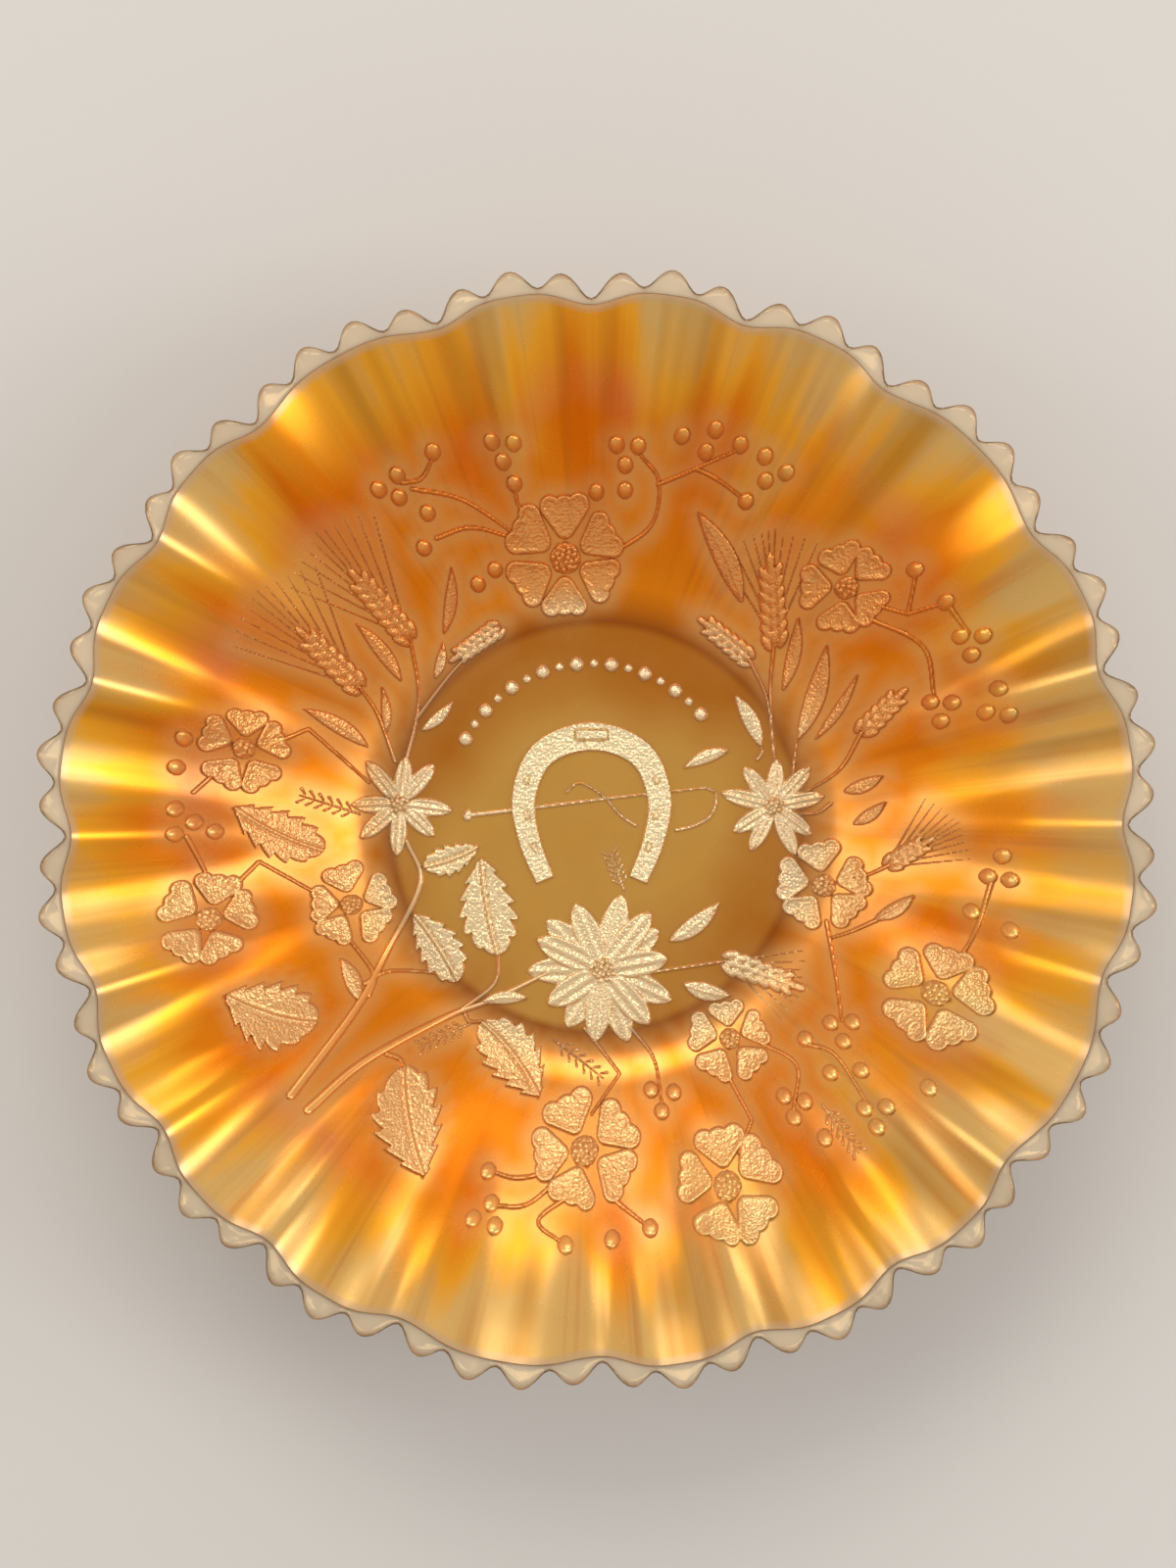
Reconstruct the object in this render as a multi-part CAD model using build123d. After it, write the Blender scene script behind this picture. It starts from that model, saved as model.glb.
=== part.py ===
# Pressed carnival glass bowl: a flat well on a collar foot, a ribbed and ruffled wall that ends
# in a pie-crust edge, and flowers, leaves, wheat and a horseshoe raised on the inside.
# Millimetres. +Z is up, and the origin is the middle of the foot on the table.
from build123d import *
import math
import os

os.makedirs("parts", exist_ok=True)

# ---- Driving dimensions ----
floor_radius = 44.0         # flat well inside the bowl
floor_thickness = 4.0
foot_height = 3.0           # from the table up to the underside of the floor
foot_width = 4.5            # of the collar ring, whose outside is in line with the well
heel_radius = 20.0          # inside curve from the floor into the wall
heel_slope = 37.0           # degrees, where the heel curve runs into the wall
belly_radius = 84.0         # plan radius where the wall is steepest
belly_slope = 47.0
rim_radius = 105.6          # mean plan radius of the line where the teeth start
rim_slope = 32.0
wall_thickness = 3.6        # square to the wall, without the ribs
rib_depth = 0.9             # ribs stand proud on the outside
rib_run_in = 8.0            # plan length over which the ribs rise out of the heel

# ---- Ruffles and the pie-crust edge ----
ruffle_teeth = [3, 3, 4, 3, 3, 3, 4, 3, 3, 3, 4, 3, 3, 3, 3, 3, 3, 3, 4, 3]  # teeth in each ruffle
ruffle_start = 58.0         # plan radius where the ruffles begin
ruffle_drop = 2.8           # the rim falls this far in a ruffle and rises as far in a crimp
ruffle_reach = 1.7          # and moves out and in this far
ring_turn = -0.6            # degrees, clockwise from +Y, of the first crimp
tooth_length = 4.7
notch_length = 1.1          # what is left of the edge between two teeth
tooth_base = 2.7            # thickness at the wall
tooth_tip = 1.5             # thickness at the tip
tooth_step = 0.5            # the teeth start this far below the inside surface
tooth_rise = 0.30           # height gained for each millimetre outwards

# ---- Pressed pattern ----
seam = 0.05                 # clearance between the floor, the wall and the edge, pressed as one
relief_seat = 0.06          # clearance between the inside surface and a raised motif
relief_gap = 0.15           # clearance in plan between two motifs
smallest_face = 0.5         # square millimetres, scraps of a motif under this are left out
pattern_margin = 18.1       # from the tooth line in to the outermost motif
pattern_drawn = 87.5        # the radius that the motif places below are drawn for
petal_height = 0.9
boss_height = 1.7           # flower centres
leaf_height = 0.8
midrib_height = 1.15
stem_height = 0.85
grain_height = 1.2
berry_radius = 1.7
berry_height = 1.4
shoe_height = 1.0
nail_height = 1.35

teeth = sum(ruffle_teeth)
tooth_angle = 360 / teeth
floor_top = foot_height + floor_thickness
pattern_scale = (rim_radius - pattern_margin) / pattern_drawn


def sine(angle):
    return math.sin(math.radians(angle))


def cosine(angle):
    return math.cos(math.radians(angle))


# ---- Shape of the inside ----
# In section the inside is three tangent arcs: heel, belly and flare.
heel_end = floor_radius + heel_radius * sine(heel_slope)
heel_end_height = floor_top + heel_radius * (1 - cosine(heel_slope))
belly_arc = (belly_radius - heel_end) / (sine(belly_slope) - sine(heel_slope))
belly_end_height = heel_end_height + belly_arc * (cosine(heel_slope) - cosine(belly_slope))
flare_arc = (rim_radius - belly_radius) / (sine(belly_slope) - sine(rim_slope))


def slope_sine(radius):
    """Sine of the inside's slope at a plan radius."""
    if radius <= floor_radius:
        return 0.0
    if radius <= heel_end:
        return (radius - floor_radius) / heel_radius
    if radius <= belly_radius:
        return sine(heel_slope) + (radius - heel_end) / belly_arc
    return sine(belly_slope) - (radius - belly_radius) / flare_arc


def section_height(radius):
    """Height of the inside, without ruffles, at a plan radius."""
    level = math.sqrt(1 - slope_sine(radius) ** 2)
    if radius <= heel_end:
        return floor_top + heel_radius * (1 - level)
    if radius <= belly_radius:
        return heel_end_height + belly_arc * (cosine(heel_slope) - level)
    return belly_end_height + flare_arc * (level - cosine(belly_slope))


crimps = [sum(ruffle_teeth[:k]) for k in range(len(ruffle_teeth) + 1)]  # counted in teeth


def ruffle_wave(clock):
    """1 in the middle of a ruffle and -1 in a crimp. clock is in degrees, clockwise from +Y."""
    place = ((clock - ring_turn) % 360) / tooth_angle
    k = max(i for i in range(len(ruffle_teeth)) if crimps[i] <= place)
    share = (place - crimps[k]) / ruffle_teeth[k]
    return 1 - 2 * (0.5 + 0.5 * math.cos(2 * math.pi * share)) ** 2


def ruffle_growth(radius):
    share = min(max((radius - ruffle_start) / (rim_radius - ruffle_start), 0), 1)
    return share * share * (3 - 2 * share)


def tooth_wave(clock):
    """1 at the point of a tooth and 0 in a notch."""
    return 0.5 - 0.5 * math.cos(2 * math.pi * (clock - ring_turn) / tooth_angle)


def inside_height(radius, clock):
    return section_height(radius) - ruffle_drop * ruffle_growth(radius) * ruffle_wave(clock)


def outside_height(radius, clock):
    thickness = wall_thickness / math.sqrt(1 - slope_sine(radius) ** 2)
    run_in = min(max((radius - floor_radius) / rib_run_in, 0), 1)
    return inside_height(radius, clock) - thickness - rib_depth * tooth_wave(clock) * run_in


def tooth_line(clock):
    """Plan radius where the teeth start."""
    return rim_radius + ruffle_reach * ruffle_wave(clock)


def on_circle(radius, clock, height):
    return radius * sine(clock), radius * cosine(clock), height


# ---- The glass body ----
wall_pitch = 3.2            # spacing of the points along the wall in each section
samples_per_tooth = 6       # sections round the ring


def even(count):
    return [i / (count - 1) for i in range(count)]


def wall_section(clock):
    """Closed outline of the wall in the upright plane at one clock angle."""
    run = tooth_line(clock) - floor_radius
    spacing = even(math.ceil((rim_radius - floor_radius) / wall_pitch) + 1)
    radii = [floor_radius + run * share for share in spacing]
    inside = [on_circle(r, clock, inside_height(r, clock)) for r in radii]
    outside = [on_circle(r, clock, outside_height(r, clock)) for r in radii][::-1]
    return Wire([
        Edge.make_spline(inside, parameters=spacing),
        Edge.make_line(inside[-1], outside[0]),
        Edge.make_spline(outside, parameters=spacing),
        Edge.make_line(outside[-1], inside[0]),
    ])


def edge_section(clock):
    """Closed outline of the toothed edge in the upright plane at one clock angle."""
    start = tooth_line(clock) + seam
    top = inside_height(start, clock) - tooth_step
    wave = tooth_wave(clock)
    length = notch_length + (tooth_length - notch_length) * wave * (1.35 - 0.35 * wave)
    rise = tooth_rise * length
    belly = 0.12 * length   # the teeth are slightly full on both faces
    upper = [
        on_circle(start, clock, top),
        on_circle(start + length / 2, clock, top + rise / 2 + belly),
        on_circle(start + length, clock, top + rise - (tooth_base - tooth_tip) / 2),
    ]
    lower = [
        on_circle(start + length, clock, top + rise - (tooth_base + tooth_tip) / 2),
        on_circle(start + length / 2, clock, top + rise / 2 - tooth_base),
        on_circle(start, clock, top - tooth_base),
    ]
    spacing = even(3)
    return Wire([
        Edge.make_spline(upper, parameters=spacing),
        Edge.make_line(upper[-1], lower[0]),
        Edge.make_spline(lower, parameters=spacing),
        Edge.make_line(lower[-1], upper[0]),
    ])


def ring(section):
    """Four quarters, each lofted through upright sections, joined into one ring."""
    quarter = teeth // 4 * samples_per_tooth
    parts = []
    for k in range(4):
        clocks = [ring_turn + 90 * (k + i / quarter) for i in range(quarter + 1)]
        parts.append(Solid.make_loft([section(clock) for clock in clocks]))
    return parts[0].fuse(*parts[1:])


def well_floor():
    return Pos(0, 0, foot_height) * extrude(Circle(floor_radius - seam), floor_thickness)


def collar_foot():
    ring_face = Circle(floor_radius) - Circle(floor_radius - foot_width)
    foot = extrude(ring_face, foot_height)
    return fillet(foot.faces().sort_by(Axis.Z)[0].edges(), foot_width / 4)


# ---- Pressing a flat outline onto the inside ----
layer_pitch = 2.4           # spacing of the points that carry a layer over the inside


def height_at(x, y):
    radius = math.hypot(x, y)
    return inside_height(min(radius, rim_radius), math.degrees(math.atan2(x, y)))


def surface_layer(box, thickness):
    """Solid of even height that lies on the inside over a box in plan."""
    side = 0.5              # past the box on each side
    x0, x1 = box.min.X - side, box.max.X + side
    y0, y1 = box.min.Y - side, box.max.Y + side
    rows = max(4, math.ceil((x1 - x0) / layer_pitch) + 1)
    columns = max(4, math.ceil((y1 - y0) / layer_pitch) + 1)
    spacing = even(columns)
    sections = []
    for i in even(rows):
        x = x0 + (x1 - x0) * i
        low = [(x, y0 + (y1 - y0) * j) for j in spacing]
        bottom = [(a, b, height_at(a, b) + relief_seat) for a, b in low]
        top = [(a, b, c + thickness) for a, b, c in bottom][::-1]
        sections.append(Wire([
            Edge.make_spline(bottom, parameters=spacing),
            Edge.make_line(bottom[-1], top[0]),
            Edge.make_spline(top, parameters=spacing),
            Edge.make_line(top[-1], bottom[0]),
        ]))
    return Solid.make_loft(sections)


covered = []                # plan outlines of the motifs made so far


def boxes_meet(a, b):
    return a.min.X < b.max.X and b.min.X < a.max.X and a.min.Y < b.max.Y and b.min.Y < a.max.Y


def uncovered(outline):
    """Faces of a plan outline that no earlier motif covers."""
    faces = []
    for face in outline.faces():
        left = [face]
        for other in covered:
            if boxes_meet(face.bounding_box(), other.bounding_box()):
                left = [piece for whole in left for piece in (whole - other).faces()]
        faces += [piece for piece in left if piece.area > smallest_face]
    return faces


def raised(outline, thickness):
    """Solids that stand on the inside under what is uncovered of a flat outline."""
    solids = []
    for face in uncovered(outline):
        prism = extrude(face, 2 * rim_radius, dir=(0, 0, 1))
        solids += (prism & surface_layer(face.bounding_box(), thickness)).solids()
    return solids


def place(x, y, turn=0.0):
    """Location of a motif, from its drawn place. turn is clockwise from +Y."""
    return Pos(x * pattern_scale, y * pattern_scale) * Rot(0, 0, -turn)


def spline_face(points):
    return make_face(Spline(*points, periodic=True))


def span(base, tip):
    """Length and clockwise turn of the line from base to tip."""
    dx, dy = tip[0] - base[0], tip[1] - base[1]
    return math.hypot(dx, dy) * pattern_scale, math.degrees(math.atan2(dx, dy))


# ---- Motif outlines, drawn pointing along +Y from their base ----
def petal(length, width, notch):
    """Broad petal with a notched end."""
    half = width / 2
    right = [(0.30 * half, 0.16 * length), (0.82 * half, 0.46 * length), (half, 0.74 * length),
             (0.52 * half, 0.99 * length)]
    left = [(-x, y) for x, y in reversed(right)]
    return spline_face([*right, (0, length - notch), *left])


def ray(length, width, start):
    """Narrow pointed petal or leaf from start to length."""
    middle = (start + length) / 2
    return make_face([
        ThreePointArc((0, start), (width / 2, middle), (0, length)),
        ThreePointArc((0, length), (-width / 2, middle), (0, start)),
    ])


def serrated_leaf(length, width, saw_teeth=6, bite=0.10):
    """Oval leaf with a saw-toothed margin."""
    side = [(0.10 * width, 0)]
    for i in range(saw_teeth):
        for along, keep in ((i + 0.25, 1 - bite), (i + 0.95, 1 + bite)):
            share = along / saw_teeth
            full = math.sin(math.pi * share ** 0.8) ** 0.75
            side.append((keep * full * width / 2, share * length))
    right = [*side[:-1], (0, length)]
    left = [(-x, y) for x, y in reversed(right[:-1])]
    return make_face(Polyline(*right, *left, close=True))


def strip(points, width):
    """Band of even width along a hand-drawn line."""
    scaled = [(x * pattern_scale, y * pattern_scale) for x, y in points]
    if len(scaled) == 2:
        return trace(Line(*scaled), width)
    return trace(Spline(*scaled), width)


def kinked_strip(points, width):
    """Band of even width along straight runs."""
    scaled = [(x * pattern_scale, y * pattern_scale) for x, y in points]
    runs = [trace(Line(a, b), width) for a, b in zip(scaled, scaled[1:])]
    knees = [Pos(*p) * Circle(width / 2) for p in scaled[1:-1]]
    return Sketch() + [*runs, *knees]


# ---- Motifs ----
def blossom(x, y, radius, turn, petals=5):
    """Wild-rose flower: notched petals round a raised boss."""
    size = radius * pattern_scale
    boss = Circle(0.24 * size)
    width = 2 * size * sine(180 / petals) * 0.80
    leaves = [Rot(0, 0, -360 * k / petals) * petal(size, width, 0.09 * size) for k in range(petals)]
    flower = Sketch() + leaves - boss
    at = place(x, y, turn)
    solids = [*raised(at * flower, petal_height), *raised(at * boss, boss_height)]
    covered.append(at * Circle(1.05 * size + relief_gap))
    return solids


def daisy(x, y, radius, turn, rays, width):
    """Daisy: pointed rays round a raised boss."""
    size = radius * pattern_scale
    boss = Circle(0.20 * size)
    leaves = [Rot(0, 0, -360 * k / rays) * ray(size, width * pattern_scale, 0.10 * size) for k in range(rays)]
    flower = Sketch() + leaves - boss
    at = place(x, y, turn)
    solids = [*raised(at * flower, petal_height), *raised(at * boss, boss_height)]
    covered.append(at * Circle(1.05 * size + relief_gap))
    return solids


def broad_leaf(base, tip, width):
    """Serrated leaf with a raised midrib."""
    length, turn = span(base, tip)
    midrib = Pos(0, 0.48 * length) * Rectangle(0.7, 0.92 * length)
    blade = serrated_leaf(length, width * pattern_scale) - midrib
    at = place(*base, turn)
    solids = [*raised(at * blade, leaf_height), *raised(at * midrib, midrib_height)]
    room = ray(length + 2 * relief_gap, width * pattern_scale * 1.1 + 2 * relief_gap, -relief_gap)
    covered.append(at * room)
    return solids


def narrow_leaves(leaves):
    """A group of lance-shaped leaves, each as its base, its tip and its width."""
    solids = []
    for base, tip, width in leaves:
        length, turn = span(base, tip)
        broad = width * pattern_scale
        solids += raised(place(*base, turn) * ray(length, broad, 0), leaf_height)
        room = ray(length + relief_gap, broad + 2 * relief_gap, -relief_gap)
        covered.append(place(*base, turn) * room)
    return solids


def wheat_ear(base, tip, width, awns):
    """Ear of wheat: a stalk with three rows of grains, and awns past its tip."""
    length, turn = span(base, tip)
    broad = width * pattern_scale
    half_grain = 0.36 * broad
    grain = Ellipse(0.19 * broad, half_grain)
    pairs = max(3, round(length / (0.40 * broad)))
    ear = [Pos(0, length / 2) * Rectangle(0.12 * broad, length)]
    for i in range(pairs):
        along = length * (i + 0.6) / pairs
        for side in (-1, 1):
            ear.append(Pos(side * 0.30 * broad, along) * Rot(0, 0, -side * 24) * grain)
    ear.append(Pos(0, length) * grain)
    outline = Sketch() + ear
    solids = [*raised(place(*base, turn) * outline, grain_height)]
    if awns:
        for lean in (-22, -11, 0, 11, 22):
            foot = Pos(lean / 55 * broad, length + half_grain + 2 * relief_gap - abs(lean) / 30)
            hair = foot * Rot(0, 0, -lean) * ray(awns * pattern_scale, 0.55, 0)
            solids += raised(place(*base, turn) * hair, stem_height)
    long = length + 2.4 * half_grain
    covered.append(place(*base, turn) * Pos(0, long / 2 - half_grain) * Rectangle(1.4 * broad, long))
    return solids


def sprigs(list_of_sprigs):
    """Small feathery sprigs, each as its base and its tip."""
    solids = []
    for base, tip in list_of_sprigs:
        length, turn = span(base, tip)
        twig = [Pos(0, length / 2) * Rectangle(0.55, length)]
        for i in range(5):
            for side in (-1, 1):
                twig.append(Pos(0, length * (0.15 + 0.17 * i)) * Rot(0, 0, -side * 42) * ray(2.4, 0.8, 0))
        solids += raised(place(*base, turn) * (Sketch() + twig), stem_height)
    return solids


def berries(places):
    """Round berries, each a low dome."""
    dome_radius = (berry_radius ** 2 + berry_height ** 2) / (2 * berry_height)
    solids = []
    for x, y in places:
        disc = place(x, y) * Circle(berry_radius)
        low = surface_layer(disc.bounding_box(), 2 * berry_height)
        centre = disc.center()
        sink = height_at(centre.X, centre.Y) + berry_height - dome_radius
        ball = Pos(centre.X, centre.Y, sink) * Sphere(dome_radius)
        column = extrude(disc, 2 * rim_radius, dir=(0, 0, 1))
        solids += (ball & low & column).solids()
        covered.append(place(x, y) * Circle(berry_radius + relief_gap))
    return solids


def stems(curved=(), kinked=(), width=0.9):
    room = width + 2 * relief_gap
    lines = [(strip, points) for points in curved] + [(kinked_strip, points) for points in kinked]
    solids = []
    for make_strip, points in lines:
        solids += raised(make_strip(points, width), stem_height)
        covered.append(make_strip(points, room))
    return solids


# ---- Horseshoe, riding crop and bead band in the well ----
shoe_at = (-1.0, 5.5)
shoe_outer = [(0, 17.0), (12.2, 12.3), (17.2, 0.8), (15.6, -9.0), (11.8, -18.0)]
shoe_inner = [(8.2, -15.6), (11.0, -8.0), (11.8, 1.2), (8.4, 8.2), (0, 10.6)]
shoe_nails = [(14.4, 4.5, 10), (14.1, -3.0, -8), (12.4, -10.0, -20)]  # x, y and turn, on each branch
bead_centre = (-1.0, 4.5)
bead_ring = 30.5
bead_clocks = [-62 + 7 * i for i in range(17)]


def shoe_outline():
    outer = [(x, y) for x, y in shoe_outer]
    inner = [(x, y) for x, y in shoe_inner]
    scaled = lambda points: [(x * pattern_scale, y * pattern_scale) for x, y in points]
    outside = scaled([(-x, y) for x, y in outer[:0:-1]] + outer)
    inside = scaled(inner + [(-x, y) for x, y in inner[-2::-1]])
    return make_face([
        Spline(*outside),
        Line(outside[-1], inside[0]),
        Spline(*inside),
        Line(inside[-1], outside[0]),
    ])


def shoe_details():
    """Toe clip and nail heads, drawn about the middle of the shoe."""
    clip = Pos(0, 14.0 * pattern_scale) * Rectangle(6.6, 2.0)
    nails = []
    for x, y, turn in shoe_nails:
        for side in (-1, 1):
            spot = Pos(side * x * pattern_scale, y * pattern_scale) * Rot(0, 0, -side * turn)
            nails.append(spot * Rectangle(1.3, 2.0))
    return Sketch() + [clip, *nails]


def horseshoe():
    at = place(*shoe_at)
    details = at * shoe_details()
    solids = [*raised(at * shoe_outline() - details, shoe_height), *raised(details, nail_height)]
    covered.append(at * shoe_outline())
    return solids


def riding_crop():
    """Tapered stock with a knob, and a looped lash. It passes under the horseshoe."""
    stock = make_face(Polyline(
        *[(x * pattern_scale, y * pattern_scale) for x, y in
          ((-27.5, 1.9), (23.5, 8.2), (23.5, 8.8), (-27.5, 3.1))], close=True))
    knob = place(-27.5, 2.5) * Circle(1.1)
    lash = [
        strip([(23.0, 8.5), (25.5, 7.2), (25.0, 3.0), (21.5, 0.2), (17.0, -0.5)], 0.7),
        strip([(-6.5, 7.5), (-3.5, 9.3), (1.5, 6.5), (5.0, 3.0), (8.5, 0.5)], 0.7),
    ]
    return raised(Sketch() + [stock, knob, *lash], stem_height)


def bead_band():
    """Arc of pearls, large and small in turn, over the horseshoe."""
    solids = []
    for i, clock in enumerate(bead_clocks):
        x = bead_centre[0] + bead_ring * sine(clock)
        y = bead_centre[1] + bead_ring * cosine(clock)
        size = berry_radius * (0.92 if i % 2 == 0 else 0.55)
        disc = place(x, y) * Circle(size)
        ball = Pos(disc.center().X, disc.center().Y, height_at(0, 0)) * Sphere(size)
        solids += (ball & surface_layer(disc.bounding_box(), 2 * berry_radius)).solids()
        covered.append(place(x, y) * Circle(size + relief_gap))
    return solids


# ---- Where the motifs lie, in millimetres at the drawn size ----
blossom_places = {          # x, y, radius, turn and petals
    "blossom_top": (-6.5, 57.0, 12.6, 0, 6),
    "blossom_upper_right": (52.0, 50.0, 9.2, -20, 5),
    "blossom_right_inner": (48.5, -12.5, 9.8, -3, 5),
    "blossom_right_outer": (70.0, -34.0, 10.4, 15, 5),
    "blossom_lower_right": (28.5, -45.0, 8.6, -12, 5),
    "blossom_bottom_right": (27.0, -73.5, 10.9, -25, 5),
    "blossom_bottom": (-2.5, -67.5, 11.4, -10, 5),
    "blossom_left_inner": (-52.0, -16.5, 8.8, -10, 5),
    "blossom_left_outer": (-79.5, -18.5, 9.4, 8, 5),
    "blossom_upper_left": (-73.0, 16.5, 8.6, 5, 5),
}
daisy_places = {            # x, y, radius, turn, rays and the width of a ray
    "daisy_left": (-42.0, 5.0, 11.0, 2, 8, 3.4),
    "daisy_right": (38.0, 4.5, 11.0, 2, 9, 3.4),
    "daisy_base": (1.5, -30.5, 15.8, 8, 14, 4.6),
}
broad_leaf_places = {       # base, tip and width
    "leaf_upright": ((-21.0, -27.5), (-24.5, -6.5), 11.5),
    "leaf_heel": ((-29.5, -33.0), (-39.0, -18.5), 9.2),
    "leaf_small": ((-37.0, -8.5), (-25.0, -4.0), 6.4),
    "leaf_left": ((-57.5, -5.0), (-75.0, 4.5), 9.6),
    "leaf_left_low": ((-58.0, -40.5), (-76.0, -34.0), 12.6),
    "leaf_low": ((-40.5, -50.0), (-35.5, -71.5), 12.8),
    "leaf_base": ((-24.5, -41.5), (-12.0, -57.0), 11.2),
}
wheat_places = {            # base, tip, width and length of the awns
    "wheat_left_inner": ((-39.5, 40.0), (-49.5, 51.5), 6.2, 12.0),
    "wheat_left_outer": ((-50.0, 29.5), (-60.0, 39.5), 6.2, 13.0),
    "wheat_left_small": ((-20.5, 42.8), (-29.5, 36.5), 5.2, 0),
    "wheat_right_tall": ((38.0, 38.5), (36.5, 54.5), 6.2, 8.0),
    "wheat_right_small": ((33.0, 35.5), (23.5, 43.2), 5.4, 0),
    "wheat_right_outer": ((56.0, 20.0), (63.0, 27.5), 5.4, 0),
    "wheat_right_low": ((61.5, -8.0), (68.5, -3.2), 4.8, 8.0),
    "wheat_base": ((27.5, -28.6), (41.5, -33.4), 6.4, 3.5),
}
narrow_leaf_places = {      # base, tip and width of each leaf
    "narrow_leaves_left": [
        ((-32.5, 41.0), (-30.5, 55.0), 2.6), ((-34.5, 31.5), (-32.5, 39.5), 2.3),
        ((-41.5, 31.0), (-50.5, 43.0), 3.2), ((-48.5, 17.0), (-61.5, 25.0), 3.4),
        ((-45.0, 19.5), (-45.5, 30.0), 2.1), ((-37.5, 20.5), (-30.5, 27.0), 2.6),
        ((-50.0, -36.5), (-54.0, -27.5), 3.4),
    ],
    "narrow_leaves_right": [
        ((31.0, 47.5), (21.0, 66.0), 4.6), ((39.8, 29.0), (42.5, 44.5), 3.0),
        ((43.0, 18.5), (48.5, 38.5), 4.2), ((46.5, 18.5), (55.0, 32.5), 2.2),
        ((52.5, 7.5), (60.5, 11.0), 3.0), ((54.5, 0.5), (61.0, 5.5), 2.7),
        ((58.5, -19.5), (66.5, -14.0), 3.0), ((35.3, 17.0), (29.5, 28.5), 3.6),
        ((28.5, 16.5), (18.5, 12.5), 3.0),
    ],
    "narrow_leaves_base": [
        ((15.5, -24.5), (26.5, -16.0), 4.0), ((18.5, -33.5), (29.0, -36.0), 4.0),
        ((-14.5, -36.5), (-25.0, -37.5), 3.0),
    ],
}
berry_places = {
    "berries_top_left": [
        (-33.5, 77.0), (-21.4, 79.2), (-17.0, 79.2), (-19.2, 75.6), (-40.8, 72.4), (-44.6, 69.5),
        (-40.6, 68.2), (-35.0, 65.4), (-36.0, 58.5), (-17.0, 71.5), (-25.0, 51.5), (-21.4, 54.5)],
    "berries_top_right": [
        (4.2, 79.0), (8.6, 78.8), (6.0, 75.2), (6.0, 70.4), (0.0, 70.0), (17.5, 80.5), (24.2, 81.2),
        (22.4, 77.2), (29.5, 78.5), (34.5, 76.2), (38.8, 73.0), (34.8, 71.6), (31.0, 67.8)],
    "berries_right": [
        (65.0, 53.0), (71.0, 46.2), (74.4, 39.4), (78.6, 39.4), (76.6, 35.6), (69.2, 26.2),
        (73.2, 26.0), (71.2, 22.2), (81.5, 28.6), (79.4, 23.8), (83.6, 23.2)],
    "berries_right_low": [(83.0, -5.6), (80.4, -9.8), (84.4, -10.4), (77.2, -17.0), (84.0, -20.5)],
    "berries_lower_right": [
        (49.2, -41.0), (53.6, -40.6), (51.6, -44.6), (44.0, -44.5), (48.8, -51.0), (54.8, -50.2),
        (55.2, -57.6), (59.4, -57.0), (57.4, -61.0), (67.4, -52.5)],
    "berries_base": [
        (39.2, -56.0), (43.4, -56.8), (41.0, -60.0), (47.0, -63.5), (11.6, -55.6), (16.4, -56.0),
        (13.8, -59.8)],
    "berries_bottom": [
        (11.0, -81.8), (3.2, -83.6), (-6.4, -84.8), (-22.4, -71.0), (-25.2, -79.6), (-21.6, -77.0),
        (-20.8, -81.2)],
    "berries_left": [(-84.0, 18.4), (-85.6, 12.6), (-85.8, 4.2), (-85.6, -1.0), (-82.2, 1.4), (-78.4, -0.6)],
}
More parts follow.
